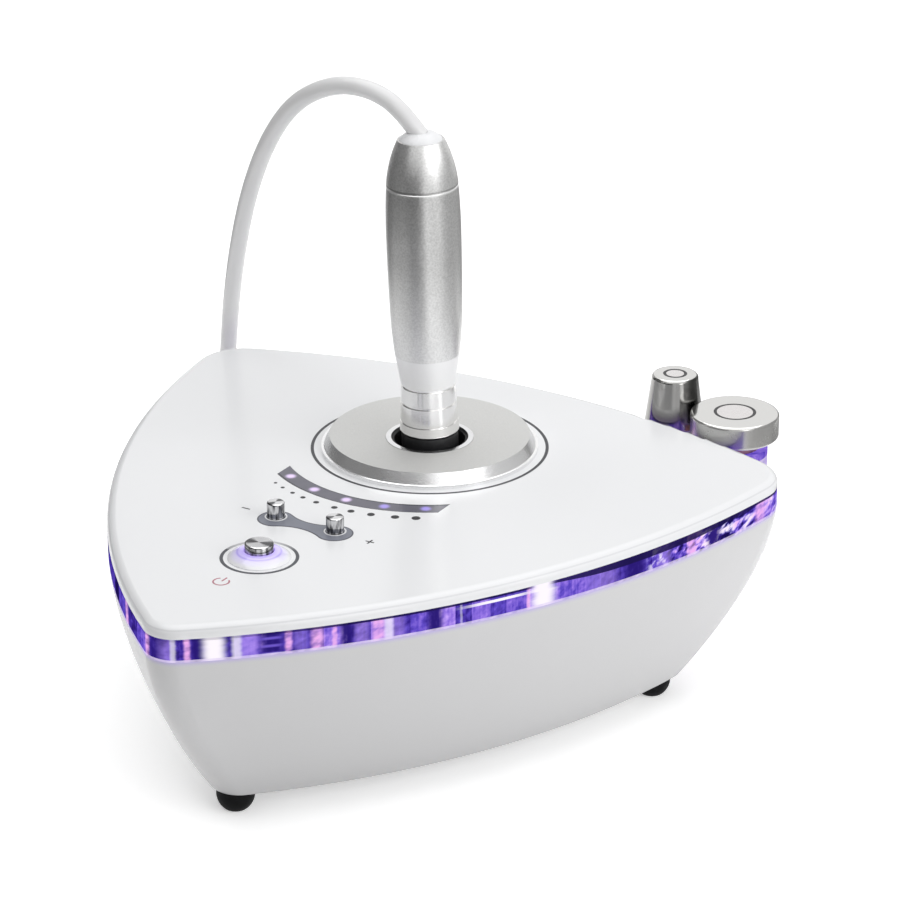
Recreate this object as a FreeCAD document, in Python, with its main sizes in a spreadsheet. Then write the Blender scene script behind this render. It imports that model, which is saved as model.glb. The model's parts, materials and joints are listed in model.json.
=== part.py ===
"""A table-top radio-frequency facial device: a rounded three-cornered console on three feet, with a clear
light band under its white cover, a metal dish that holds the handpiece upright, press buttons on the panel,
two spare treatment tips on a clear shelf at the rear and a white cord from the handpiece to the rear wall.

Plan positions are measured from the middle of the three-cornered outline, with the front corner towards -Y.
Lengths are millimetres and angles are degrees.
"""

import FreeCAD
import Part
import Sketcher
import math
import os

SIZES = {
    # Outline of the console, seen from above
    "side_radius": 300.0,
    "front_reach": 141.0,
    "rear_reach": 71.4,
    "half_width": 118.3,
    "front_corner": 11.0,
    "rear_corner": 18.0,
    "bottom_corner": 10.0,
    # Levels above the table
    "foot_height": 8.0,
    "housing_height": 63.0,
    "band_height": 8.0,
    "cover_height": 4.0,
    # Housing
    "bottom_inset": 26.0,
    "housing_wall": 2.6,
    "housing_floor": 3.0,
    "boss_radius": 4.6,
    "boss_front": 63.0,
    "boss_rear": 31.5,
    "boss_margin": 2.0,
    "post_radius": 3.4,
    "post_height": 8.0,
    "inlet_plinth_width": 34.0,
    "inlet_plinth_height": 26.0,
    "inlet_plinth_level": 14.0,
    "inlet_plinth_inset": 7.65,
    "inlet_across": 6.0,
    "plinth_depth": 22.0,
    "gland_boss_radius": 8.0,
    "gland_side_inset": 33.3,
    "gland_level": 30.0,
    "gland_inset": 5.4,
    # Cover and light band
    "cover_edge_round": 3.0,
    "cover_plate": 2.5,
    "cover_rim": 5.0,
    "band_width": 7.0,
    "strip_thickness": 1.0,
    "strip_margin": 1.0,
    # Dish and well
    "dish_back": 28.1,
    "dish_radius": 37.8,
    "dish_flat_radius": 34.9,
    "dish_height": 5.0,
    "dish_sink": 1.3,
    "dish_edge": 1.3,
    "dish_lip": 0.9,
    "spigot_wall": 3.0,
    "spigot_length": 14.0,
    "nut_radius": 22.0,
    "nut_height": 4.0,
    "bush_radius": 13.4,
    "bush_mouth_radius": 12.4,
    "bush_bore": 10.9,
    "bush_floor": 3.0,
    "bush_recess": 0.6,
    "bush_lip": 2.0,
    "mouth_depth": 3.5,
    "trim_width": 1.8,
    "trim_depth": 2.0,
    "trim_rise": 0.2,
    # Panel
    "board_drop": 9.5,
    "board_thickness": 1.6,
    "board_half_width": 36.0,
    "board_half_nose": 17.0,
    "board_rear": -10.0,
    "board_shoulder": -60.0,
    "board_front": -94.0,
    "panel_post_radius": 2.8,
    "panel_post_across": 31.0,
    "panel_post_y": -50.0,
    "panel_nose_post_across": 12.0,
    "panel_nose_post_y": -89.0,
    "switch_side": 6.0,
    "switch_height": 3.5,
    "plunger_radius": 1.7,
    "plunger_height": 0.4,
    "panel_across": -1.8,
    "power_across": -0.6,
    "power_y": -79.0,
    "power_radius": 4.8,
    "power_rise": 5.4,
    "halo_width": 1.25,
    "halo_radius": 10.4,
    "halo_edge": 0.3,
    "halo_rise": 2.7,
    "halo_round": 11.0,
    "collar_flange": 1.6,
    "flange_thickness": 1.0,
    "step_across": 11.6,
    "step_y": -49.4,
    "step_radius": 3.0,
    "step_rise": 5.6,
    "collar_width": 0.5,
    "collar_rise": 0.2,
    "button_flange": 1.0,
    "button_flange_thickness": 0.6,
    "button_edge": 0.6,
    "level_across": -0.7,
    "window_inner": 50.5,
    "window_outer": 57.0,
    "window_half_width": 32.0,
    "window_depth": 1.0,
    "led_ring": 53.7,
    "led_radius": 1.6,
    "led_step_angle": 15.0,
    # Inside the housing
    "rf_board_length": 96.0,
    "rf_board_width": 62.0,
    "rf_board_y": 6.0,
    "core_radius": 14.0,
    "core_bore": 7.5,
    "core_height": 11.0,
    "core_across": -26.0,
    "core_y": 12.0,
    "sink_length": 44.0,
    "sink_width": 24.0,
    "sink_plate": 4.0,
    "sink_height": 20.0,
    "sink_fin": 1.6,
    "sink_pitch": 6.0,
    "sink_across": 20.0,
    "sink_y": 16.0,
    "transistor_width": 10.0,
    "transistor_thickness": 4.5,
    "transistor_height": 15.0,
    "transistor_pitch": 18.0,
    "supply_length": 44.0,
    "supply_width": 30.0,
    "supply_height": 24.0,
    "supply_y": -41.5,
    "inlet_width": 26.0,
    "inlet_height": 18.0,
    "inlet_depth": 16.0,
    "inlet_rim": 2.5,
    "inlet_flange": 2.0,
    "inlet_well_width": 18.0,
    "inlet_well_height": 8.6,
    "inlet_well_depth": 11.0,
    "inlet_pin_radius": 1.2,
    "inlet_pin_pitch": 8.6,
    "inlet_pin_length": 9.0,
    # Screws and feet
    "screw_radius": 1.5,
    "screw_head_radius": 2.8,
    "screw_head_height": 1.8,
    "screw_length": 7.5,
    "case_screw_length": 17.0,
    "case_grip": 9.0,
    "foot_radius": 6.4,
    "foot_flat": 3.9,
    "foot_collar": 1.5,
    "foot_round": 7.0,
    "foot_recess": 3.2,
    "foot_front_inset": -3.0,
    "foot_side_inset": -1.0,
    "foot_rear_inset": 1.5,
    # Handpiece, along its axis from the bright edge of the nose
    "lean_angle": 1.5,
    "lean_heading": 210.5,
    "nose_rise": 1.3,
    "nose_radius": 10.3,
    "nose_waist": 9.45,
    "nose_neck": 11.25,
    "nose_waist_at": 17.6,
    "nose_length": 29.0,
    "nose_edge": 1.0,
    "nose_bore": 6.0,
    "groove_width": 0.9,
    "groove_depth": 0.45,
    "thread_radius": 9.0,
    "thread_length": 8.0,
    "grip_shoulder": 12.45,
    "grip_radius": 12.85,
    "grip_rear": 12.3,
    "grip_shoulder_at": 47.0,
    "grip_widest_at": 74.0,
    "grip_end_at": 90.0,
    "seam_edge": 0.35,
    "shoulder_round": 157.0,
    "belly_round": 900.0,
    "rear_round": 233.0,
    "cap_top_radius": 8.0,
    "cap_top_at": 106.0,
    "cap_round": 45.0,
    "cap_bore": 7.5,
    "cap_roof": 7.5,
    "collar_radius": 7.3,
    "collar_seat": 1.5,
    "collar_plug": 4.9,
    "collar_top_radius": 3.4,
    "collar_dome": 2.5,
    "collar_round": 6.0,
    "collar_plug_length": 3.4,
    "exit_depth": 1.6,
    "insert_radius": 9.9,
    "insert_length": 18.0,
    "insert_edge": 1.2,
    "insert_spigot": 16.0,
    "socket_bore": 2.5,
    "socket_wall": 0.9,
    "socket_length": 25.0,
    "socket_recess": 0.5,
    "socket_end": 2.0,
    "lead_radius": 2.2,
    # Tips and their shelf
    "shelf_drop": 5.0,
    "shelf_height": 8.0,
    "shelf_lobe": 12.0,
    "shelf_root": 30.0,
    "stem_radius": 2.4,
    "stem_length": 14.0,
    "tip_floor": 1.5,
    "disc_side_inset": 36.4,
    "disc_gap": 0.77,
    "disc_radius": 15.7,
    "disc_height": 8.8,
    "disc_ring_radius": 7.5,
    "disc_round": 1.1,
    "disc_neck_radius": 9.0,
    "disc_neck": 4.0,
    "cone_gap": 4.39,
    "tip_gap": 0.2,
    "cone_radius": 10.6,
    "cone_top_radius": 8.4,
    "cone_height": 20.2,
    "cone_ring_radius": 4.3,
    "cone_round": 1.5,
    "cone_skirt": 0.5,
    "cone_collar": 9.8,
    "cone_neck_radius": 8.6,
    "cone_neck": 0.4,
    "ring_width": 1.0,
    # Cord
    "cord_radius": 3.1,
    "gland_radius": 7.0,
    "gland_flange": 2.0,
    "gland_spigot": 4.5,
    "gland_spigot_length": 14.0,
    "gland_boot": 5.4,
    "gland_end_radius": 3.9,
    "gland_length": 12.5,
    "coil_across": -45.0,
    "coil_y": 153.0,
    "coil_radius": 40.0,
    "coil_pitch": 7.6,
    "coil_level": 4.4,
    "coil_layer": 7.2,
    "tie_width": 8.0,
    "tie_thickness": 0.6,
    # Clearances
    "fit_gap": 0.05,
    "slide_gap": 0.3,
    "rest_gap": 0.2,
    "seat_gap": 0.6,
    "tie_gap": 0.5,
    "overrun": 1.0,
}

# Height of each section of the housing as a share of its height, with its share of the bottom inset
BOWL_SHARES = ((0.0, 1.0), (0.25, 0.65), (0.5, 0.354), (0.75, 0.125), (1.0, 0.0))
# Rings cut into the nose, as shares of the way from its edge to its waist
GROOVE_SHARES = (0.25, 0.64, 1.0)
# The coiled cord in turns, and the turns that it takes to climb to its second layer
COIL_TURNS = 3.75
CLIMB_TURNS = 0.5
# Share of a cord's shorter run that each bend takes up, and the share by which its volume may be off
ARC_SHARE = 0.45
VOLUME_TOLERANCE_SHARE = 0.01
FIN_COUNT = 7
FULL_TURN = 360.0
TIE_ANGLE = 30.0
LEVEL_TOLERANCE = 1e-4

# Free cord from the handpiece over the rear left corner down to the coil, in plan coordinates
ARCH_ROUTE = (
    (-8.8, 25.2, 204.6),
    (-18.4, 24.8, 209.8),
    (-30.3, 24.7, 210.6),
    (-41.7, 25.2, 207.0),
    (-52.4, 26.9, 200.0),
    (-62.4, 30.3, 189.4),
    (-73.6, 36.5, 174.0),
    (-86.2, 46.2, 153.5),
    (-100.0, 59.6, 127.9),
    (-113.7, 75.0, 100.8),
    (-126.2, 90.7, 74.4),
    (-135.0, 101.0, 52.0),
    (-139.0, 109.5, 30.0),
    (-133.0, 114.0, 13.0),
    (-116.0, 115.0, 5.2),
    (-95.0, 114.5, 4.4),
    (-72.0, 113.2, 4.4),
)
# Free cord from the coil up to the gland
TAIL_ROUTE = (
    (-85.3, 137.0, 11.7),
    (-85.8, 124.0, 17.0),
    (-85.3, 111.0, 26.0),
    (-85.0, 100.5, 30.0),
)

document = FreeCAD.newDocument("facial_device")
sheet = document.addObject("Spreadsheet::Sheet", "Sizes")
for row, (alias, number) in enumerate(SIZES.items(), start=1):
    sheet.set(f"A{row}", alias)
    sheet.set(f"B{row}", str(number))
    sheet.setAlias(f"B{row}", alias)
document.recompute()


class Size:
    """A length or angle that keeps its number together with the sheet formula that sets it."""

    def __init__(self, value, formula):
        self.value = value
        self.formula = formula

    @staticmethod
    def of(other):
        return other if isinstance(other, Size) else Size(float(other), repr(float(other)))

    def __add__(self, other):
        other = Size.of(other)
        return Size(self.value + other.value, f"({self.formula} + {other.formula})")

    def __sub__(self, other):
        other = Size.of(other)
        return Size(self.value - other.value, f"({self.formula} - {other.formula})")

    def __mul__(self, other):
        other = Size.of(other)
        return Size(self.value * other.value, f"({self.formula} * {other.formula})")

    def __truediv__(self, other):
        other = Size.of(other)
        return Size(self.value / other.value, f"({self.formula} / {other.formula})")

    def __neg__(self):
        return Size(-self.value, f"(0 - {self.formula})")

    def root(self):
        return Size(math.sqrt(self.value), f"sqrt({self.formula})")

    def sine(self):
        return Size(math.sin(math.radians(self.value)), f"sin({self.formula})")

    def cosine(self):
        return Size(math.cos(math.radians(self.value)), f"cos({self.formula})")


class SheetSizes:
    """Gives each alias of the sheet as a Size."""

    def __getattr__(self, alias):
        return Size(float(getattr(sheet, alias)), f"Sizes.{alias}")


d = SheetSizes()
ZERO = Size(0.0, "0")
TO_REAR = FreeCAD.Rotation(FreeCAD.Vector(1, 0, 0), -FULL_TURN / 4)
nodes = []

# Levels and places that several pieces share
base_level = d.foot_height
floor_level = base_level + d.housing_floor
band_level = base_level + d.housing_height
rim_level = band_level + d.band_height
top_level = rim_level + d.cover_height
ceiling_level = top_level - d.cover_plate
dish_level = top_level + d.dish_height
nose_level = dish_level + d.nose_rise
board_level = top_level - d.board_drop
shelf_level = rim_level - d.shelf_drop
well_floor = nose_level - d.insert_length - d.seat_gap
inner_dish = d.bush_radius + d.fit_gap


def side_centre():
    """Centre of the arc that forms the right-hand side of the outline."""
    depth = d.rear_reach + d.front_reach
    chord = (d.half_width * d.half_width + depth * depth).root()
    reach = (d.side_radius * d.side_radius - chord * chord / 4).root()
    across = d.half_width / 2 - depth / chord * reach
    along = (d.rear_reach - d.front_reach) / 2 + d.half_width / chord * reach
    return across, along


def rear_centre():
    """Distance along Y to the centre of the arc that forms the rear of the outline."""
    return d.rear_reach - (d.side_radius * d.side_radius - d.half_width * d.half_width).root()


def front_apex():
    """How far the front corner stands ahead of the middle."""
    across, along = side_centre()
    reach = d.side_radius - d.front_corner
    return (reach * reach - across * across).root() - along + d.front_corner


def rear_edge(across):
    """Distance along Y to the rear of the outline at a distance across."""
    return rear_centre() + (d.side_radius * d.side_radius - across * across).root()


def named_formula(alias, size):
    """Gives a place that follows from other sizes its own line in the sheet."""
    row = 1
    while sheet.getContents(f"A{row}"):
        row += 1
    sheet.set(f"A{row}", alias)
    sheet.set(f"B{row}", "=" + size.formula.replace("Sizes.", ""))
    sheet.setAlias(f"B{row}", alias)
    document.recompute()
    return getattr(d, alias)


def tip_places():
    """Axes of the disc and the cone, clear of the console's rear and of each other."""
    disc = d.side_radius + d.disc_gap + d.disc_radius
    cone = d.side_radius + d.cone_gap + d.cone_radius
    apart = d.disc_radius + d.cone_radius + d.tip_gap
    across = named_formula("disc_across", d.half_width - d.disc_side_inset)
    along = named_formula("disc_along", (disc * disc - across * across).root())
    turn = named_formula("tip_turn_cosine", (disc * disc + cone * cone - apart * apart) / (disc * cone * 2))
    lean = named_formula("tip_turn_sine", (-(turn * turn) + 1).root())
    cone_x = named_formula("cone_x", (across * turn - along * lean) * cone / disc)
    cone_y = named_formula("cone_y", rear_centre() + (along * turn + across * lean) * cone / disc)
    return across, named_formula("disc_y", rear_centre() + along), cone_x, cone_y


def floor_corners():
    """Centres of the floor's corners: the front one along Y, and the right rear one across and along."""
    reach = d.side_radius - d.bottom_inset - d.bottom_corner
    side_x, side_y = side_centre()
    front = side_y - (reach * reach - side_x * side_x).root()
    half_x, half_y = side_x / 2, (rear_centre() - side_y) / 2
    half = named_formula("arc_centre_half", (half_x * half_x + half_y * half_y).root())
    lift = named_formula("corner_lift", (reach * reach - half * half).root())
    across = named_formula("corner_x", half_x - half_y / half * lift)
    along = named_formula("corner_y", side_y + half_y - half_x / half * lift)
    return named_formula("front_corner_y", front), across, along


disc_x, disc_y, cone_x, cone_y = tip_places()
floor_front, floor_across, floor_rear = floor_corners()
inlet_face = rear_edge(d.inlet_across) - d.inlet_plinth_inset
gland_x = d.gland_side_inset - d.half_width
gland_face = rear_edge(gland_x) - d.gland_inset

# The origin is below the middle of the length, from the front corner to the rear of the tip shelf
plan_shift = (front_apex() - cone_y - d.shelf_lobe) / 2


def bind(thing, attribute, size):
    thing.setExpression(attribute, size.formula)


def place(thing, x=ZERO, y=ZERO, z=ZERO, rotation=None):
    """Puts a piece at a plan position and level, bound to the sheet."""
    spot = (x, y + plan_shift, z)
    turn = rotation or FreeCAD.Rotation()
    thing.Placement = FreeCAD.Placement(FreeCAD.Vector(*(s.value for s in spot)), turn)
    for name, size in zip("xyz", spot):
        bind(thing, f"Placement.Base.{name}", size)
    return thing


def node(thing, label):
    """Names a finished sub-part and keeps it for writing."""
    thing.Label = label
    nodes.append(thing)
    return thing


# Sketches and features


def new_body(name):
    return document.addObject("PartDesign::Body", name)


def sketch_on(body, name, plane="XY_Plane", height=ZERO):
    """An empty sketch on one of the body's own planes, raised along the plane's normal."""
    sketch = body.newObject("Sketcher::SketchObject", name)
    support = next(f for f in body.Origin.OriginFeatures if f.Role == plane)
    sketch.AttachmentSupport = [(support, "")]
    sketch.MapMode = "FlatFace"
    bind(sketch, "AttachmentOffset.Base.z", height)
    return sketch


def pin(sketch, element, point, x, y):
    """Fixes a point of a sketch element by its two distances from the origin."""
    for kind, axis, size in (("DistanceX", -2, x), ("DistanceY", -1, y)):
        if size is ZERO:
            sketch.addConstraint(Sketcher.Constraint("PointOnObject", element, point, axis))
        else:
            rule = Sketcher.Constraint(kind, -1, 1, element, point, size.value)
            bind(sketch, f"Constraints[{sketch.addConstraint(rule)}]", size)


def set_radius(sketch, element, size):
    rule = sketch.addConstraint(Sketcher.Constraint("Radius", element, size.value))
    bind(sketch, f"Constraints[{rule}]", size)


def arc_between(start, end, radius, bulge):
    """The shorter arc from start to end; bulge 1 turns left on the way and -1 turns right."""
    across = end - start
    rise = math.sqrt(max(radius * radius - across.Length * across.Length / 4, 0.0))
    normal = FreeCAD.Vector(-across.y, across.x, 0).normalize()
    centre = (start + end) / 2 + normal * (rise * bulge)
    first, last = (start, end) if bulge > 0 else (end, start)
    angles = [math.atan2(p.y - centre.y, p.x - centre.x) for p in (first, last)]
    if angles[1] < angles[0]:
        angles[1] += math.tau
    return Part.ArcOfCircle(Part.Circle(centre, FreeCAD.Vector(0, 0, 1), radius), *angles)


def closed_outline(sketch, corners):
    """Draws a closed outline. A corner with a radius and a bulge is reached by an arc, others by a line."""
    spots = [FreeCAD.Vector(c[0].value, c[1].value, 0) for c in corners]
    ends = []
    for index, corner in enumerate(corners):
        start, end = spots[index - 1], spots[index]
        if len(corner) == 4:
            radius, bulge = corner[2:]
            element = sketch.addGeometry(arc_between(start, end, radius.value, bulge), False)
            ends.append((element, (1, 2) if bulge > 0 else (2, 1)))
        else:
            element = sketch.addGeometry(Part.LineSegment(start, end), False)
            ends.append((element, (1, 2)))
    for index, corner in enumerate(corners):
        element, (_, last) = ends[index]
        follower, (first, _) = ends[(index + 1) % len(corners)]
        sketch.addConstraint(Sketcher.Constraint("Coincident", element, last, follower, first))
        pin(sketch, element, last, corner[0], corner[1])
        if len(corner) == 4:
            set_radius(sketch, element, corner[2])


def circles(sketch, rounds):
    """Draws circles from (x, y, radius)."""
    for x, y, radius in rounds:
        centre = FreeCAD.Vector(x.value, y.value, 0)
        element = sketch.addGeometry(Part.Circle(centre, FreeCAD.Vector(0, 0, 1), radius.value), False)
        pin(sketch, element, 3, x, y)
        set_radius(sketch, element, radius)


def rounded_triangle(sketch, inset, front_corner, rear_corner):
    """The console's outline, drawn in by an inset: three side arcs joined by three tangent corner arcs."""
    side_x, side_y = side_centre()
    rear_y = rear_centre()
    side = d.side_radius - inset
    reach_front = side.value - front_corner.value
    reach_rear = side.value - rear_corner.value
    right = FreeCAD.Vector(side_x.value, side_y.value, 0)
    rear = FreeCAD.Vector(0, rear_y.value, 0)
    front_spot = FreeCAD.Vector(0, right.y - math.sqrt(reach_front**2 - right.x**2), 0)
    between = rear - right
    lift = math.sqrt(reach_rear**2 - between.Length**2 / 4)
    corner_spot = (rear + right) / 2 + FreeCAD.Vector(-between.y, between.x, 0).normalize() * lift

    def heading(centre, spot):
        return math.atan2(spot.y - centre.y, spot.x - centre.x)

    def mirror(spot):
        return FreeCAD.Vector(-spot.x, spot.y, 0)

    front_angle = heading(right, front_spot)
    side_angle = heading(right, corner_spot)
    rear_angle = heading(rear, corner_spot)
    arcs = (
        (right, side, front_angle, side_angle),
        (corner_spot, rear_corner, side_angle, rear_angle),
        (rear, side, rear_angle, math.pi - rear_angle),
        (mirror(corner_spot), rear_corner, math.pi - rear_angle, math.pi - side_angle),
        (mirror(right), side, math.pi - side_angle, math.pi - front_angle),
        (front_spot, front_corner, math.pi - front_angle, math.tau + front_angle),
    )
    for centre, radius, first, last in arcs:
        circle = Part.Circle(centre, FreeCAD.Vector(0, 0, 1), radius.value)
        sketch.addGeometry(Part.ArcOfCircle(circle, first, last), False)
    for element in range(len(arcs)):
        follower = (element + 1) % len(arcs)
        sketch.addConstraint(Sketcher.Constraint("Tangent", element, 2, follower, 1))
    pin(sketch, 0, 3, side_x, side_y)
    pin(sketch, 2, 3, ZERO, rear_y)
    pin(sketch, 4, 3, -side_x, side_y)
    for element, (_, radius, _, _) in enumerate(arcs):
        set_radius(sketch, element, radius)


def feature(body, kind, sketch, length, name, reverse=False):
    """A Pad or Pocket of a sketch."""
    made = body.newObject(f"PartDesign::{kind}", name)
    made.Profile = sketch
    made.Reversed = reverse
    bind(made, "Length", length)
    return made


def pad(body, sketch, length, reverse=False):
    return feature(body, "Pad", sketch, length, f"{sketch.Name}_pad", reverse)


def pocket(body, sketch, length, reverse=False):
    return feature(body, "Pocket", sketch, length, f"{sketch.Name}_pocket", reverse)


def drilled(body, name, height, depth, rounds, reverse=False):
    """Round holes cut downwards from a level, or upwards if reversed."""
    sketch = sketch_on(body, name, height=height)
    circles(sketch, rounds)
    return pocket(body, sketch, depth, reverse)


def raised(body, name, height, length, rounds):
    """Round posts built upwards from a level."""
    sketch = sketch_on(body, name, height=height)
    circles(sketch, rounds)
    return pad(body, sketch, length)


def turned(name, corners):
    """A body turned about its own Z axis from corners given as (radius, height)."""
    body = new_body(name)
    sketch = sketch_on(body, f"{name}_profile", "XZ_Plane")
    closed_outline(sketch, corners)
    turn = body.newObject("PartDesign::Revolution", f"{name}_turn")
    turn.Profile = sketch
    turn.ReferenceAxis = (sketch, ["V_Axis"])
    turn.Angle = FULL_TURN
    return body


def box(name, length, width, height, x, y, z):
    """A block whose middle lies at a plan position, standing on a level."""
    made = document.addObject("Part::Box", name)
    bind(made, "Length", length)
    bind(made, "Width", width)
    bind(made, "Height", height)
    return place(made, x - length / 2, y - width / 2, z)


def cylinder(name, radius, height, x, y, z, rotation=None):
    made = document.addObject("Part::Cylinder", name)
    bind(made, "Radius", radius)
    bind(made, "Height", height)
    return place(made, x, y, z, rotation)


def joined(name, kind, *pieces):
    """A fuse, cut or compound of finished pieces."""
    made = document.addObject(f"Part::{kind}", name)
    if kind == "Cut":
        made.Base, made.Tool = pieces
    elif kind == "Compound":
        made.Links = list(pieces)
    else:
        made.Shapes = list(pieces)
    return made


def top_edges(body, level):
    """Names of the edges of a body that lie wholly at a level."""
    document.recompute()
    tip = body.Tip
    names = []
    for index, edge in enumerate(tip.Shape.Edges, start=1):
        limits = edge.BoundBox
        if max(abs(limits.ZMin - level.value), abs(limits.ZMax - level.value)) < LEVEL_TOLERANCE:
            names.append(f"Edge{index}")
    return tip, names


def rounded(body, level, radius, name):
    """Rounds every edge of a body at a level."""
    tip, edges = top_edges(body, level)
    made = body.newObject("PartDesign::Fillet", name)
    made.Base = (tip, edges)
    bind(made, "Radius", radius)
    return made


# Screws


def screw_group(label, length, places, downwards=False):
    """Identical pan-head screws, each with its head's seat at a place and its shank pointing up or down."""
    turn = FreeCAD.Rotation(FreeCAD.Vector(1, 0, 0), FULL_TURN / 2 if downwards else 0.0)
    made = []
    for index, (x, y, z) in enumerate(places):
        corners = (
            (ZERO, -d.screw_head_height),
            (d.screw_head_radius, -d.screw_head_height),
            (d.screw_head_radius, ZERO),
            (d.screw_radius, ZERO),
            (d.screw_radius, length),
            (ZERO, length),
        )
        made.append(place(turned(f"{label}_{index}", corners), x, y, z, turn))
    return node(joined(f"{label}_group", "Compound", *made), label)


def case_places():
    """Plan positions of the three screws that close the case, the rear ones clear of the main board."""
    rear_x = d.rf_board_length / 2 + d.boss_margin + d.boss_radius
    return ((ZERO, -d.boss_front), (rear_x, d.boss_rear), (-rear_x, d.boss_rear))


def foot_places():
    across, along = floor_across - d.foot_side_inset, floor_rear - d.foot_rear_inset
    return ((ZERO, floor_front + d.foot_front_inset), (across, along), (-across, along))


def rf_post_places():
    across = d.rf_board_length / 2 - d.post_radius - d.overrun
    along = d.rf_board_width / 2 - d.post_radius - d.overrun
    signs = ((1, 1), (-1, 1), (-1, -1), (1, -1))
    return tuple((across * i, d.rf_board_y + along * j) for i, j in signs)


def panel_post_places():
    wide = ((d.panel_post_across, d.panel_post_y), (-d.panel_post_across, d.panel_post_y))
    nose = (
        (d.panel_nose_post_across, d.panel_nose_post_y),
        (-d.panel_nose_post_across, d.panel_nose_post_y),
    )
    return wide + nose


def with_radius(places, radius):
    return tuple((x, y, radius) for x, y in places)


# Console


def housing_sections(body, name, low, height, bottom_inset, wall):
    """Sketches of the bowl's outline from its floor to its rim, drawn in by a wall."""
    sections = []
    for index, (rise_share, inset_share) in enumerate(BOWL_SHARES):
        sketch = sketch_on(body, f"{name}_{index}", height=low + height * rise_share)
        front = d.bottom_corner + (d.front_corner - d.bottom_corner) * rise_share - wall
        rear = d.bottom_corner + (d.rear_corner - d.bottom_corner) * rise_share - wall
        rounded_triangle(sketch, bottom_inset * inset_share + wall, front, rear)
        sections.append(sketch)
    return sections


def loft(body, kind, sections, name):
    made = body.newObject(f"PartDesign::{kind}", name)
    made.Profile = sections[0]
    made.Sections = sections[1:]
    return made


def block_on_rear(body, name, face, corners, depth):
    """A block built forwards into the rear wall from an upright face."""
    sketch = sketch_on(body, name, "XZ_Plane", -face)
    closed_outline(sketch, corners)
    return pad(body, sketch, depth)


def rectangle(x, z, width, height):
    """Corners of an upright rectangle centred across on x, standing on z."""
    left, right = x - width / 2, x + width / 2
    return ((left, z), (right, z), (right, z + height), (left, z + height))


def base_housing():
    """Bowl-shaped moulding, hollowed, with screw bosses, board posts, inlet plinth and gland boss."""
    body = new_body("base_housing")
    skin = housing_sections(body, "housing_skin", base_level, d.housing_height, d.bottom_inset, ZERO)
    loft(body, "AdditiveLoft", skin, "housing_loft")
    plinth = rectangle(d.inlet_across, d.inlet_plinth_level, d.inlet_plinth_width, d.inlet_plinth_height)
    block_on_rear(body, "inlet_plinth", inlet_face, plinth, d.plinth_depth)
    boss = sketch_on(body, "gland_boss", "XZ_Plane", -gland_face)
    circles(boss, ((gland_x, d.gland_level, d.gland_boss_radius),))
    pad(body, boss, d.plinth_depth)

    depth = d.housing_height - d.housing_floor
    ratio = depth / d.housing_height
    inner_inset = d.bottom_inset * ratio * ratio.root()
    cavity = housing_sections(body, "housing_cavity", floor_level, depth, inner_inset, d.housing_wall)
    loft(body, "SubtractiveLoft", cavity, "housing_hollow")

    low = floor_level - d.overrun
    raised(body, "case_bosses", low, band_level - low, with_radius(case_places(), d.boss_radius))
    posts = with_radius(rf_post_places() + foot_places(), d.post_radius)
    raised(body, "board_posts", low, d.post_height + d.overrun, posts)

    clear = d.screw_radius + d.slide_gap
    drilled(body, "case_holes", band_level, depth + d.housing_floor, with_radius(case_places(), clear))
    head = d.screw_head_radius + d.slide_gap
    sunk = d.housing_height - d.case_grip
    drilled(body, "case_counterbores", base_level, sunk, with_radius(case_places(), head), reverse=True)
    thread = d.screw_radius + d.fit_gap
    posts = with_radius(rf_post_places(), thread)
    drilled(body, "post_holes", floor_level + d.post_height, d.post_height, posts)
    reach = d.post_height
    drilled(body, "foot_holes", base_level, reach, with_radius(foot_places(), thread), reverse=True)

    opening = sketch_on(body, "inlet_opening", "XZ_Plane", -inlet_face)
    low = d.inlet_plinth_level + (d.inlet_plinth_height - d.inlet_height) / 2 - d.fit_gap
    wide, high = d.inlet_width + d.fit_gap * 2, d.inlet_height + d.fit_gap * 2
    closed_outline(opening, rectangle(d.inlet_across, low, wide, high))
    pocket(body, opening, d.plinth_depth + d.overrun, reverse=True)
    bore = sketch_on(body, "gland_bore", "XZ_Plane", -gland_face)
    circles(bore, ((gland_x, d.gland_level, d.gland_spigot + d.fit_gap),))
    pocket(body, bore, d.plinth_depth + d.overrun, reverse=True)
    return node(place(body), "base_housing")


def light_band():
    """Clear ring between housing and cover, lit from inside."""
    body = new_body("light_band")
    outer = sketch_on(body, "band_outer", height=band_level)
    rounded_triangle(outer, ZERO, d.front_corner, d.rear_corner)
    pad(body, outer, d.band_height)
    inner = sketch_on(body, "band_inner", height=rim_level)
    rounded_triangle(inner, d.band_width, d.front_corner - d.band_width, d.rear_corner - d.band_width)
    pocket(body, inner, d.band_height)
    return node(place(body), "light_band")


def band_led_strip():
    """Flexible strip of lights that lines the inside of the band."""
    body = new_body("band_led_strip")
    level = band_level + d.strip_margin
    height = d.band_height - d.strip_margin * 2
    inner = d.band_width + d.strip_thickness
    outline = sketch_on(body, "strip_outer", height=level)
    rounded_triangle(outline, d.band_width, d.front_corner - d.band_width, d.rear_corner - d.band_width)
    pad(body, outline, height)
    hollow = sketch_on(body, "strip_inner", height=level + height)
    rounded_triangle(hollow, inner, d.front_corner - inner, d.rear_corner - inner)
    pocket(body, hollow, height)
    return node(place(body), "band_led_strip")


def window_corners(gap):
    """Outline of the level window: a slice of a ring round the dish, cut square at its ends."""
    inner, outer = d.window_inner + gap, d.window_outer - gap
    half = d.window_half_width - gap
    left, right = d.level_across - half, d.level_across + half
    inner_y = d.dish_back - (inner * inner - half * half).root()
    outer_y = d.dish_back - (outer * outer - half * half).root()
    return (
        (left, outer_y),
        (right, outer_y, outer, 1),
        (right, inner_y),
        (left, inner_y, inner, -1),
    )


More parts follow.
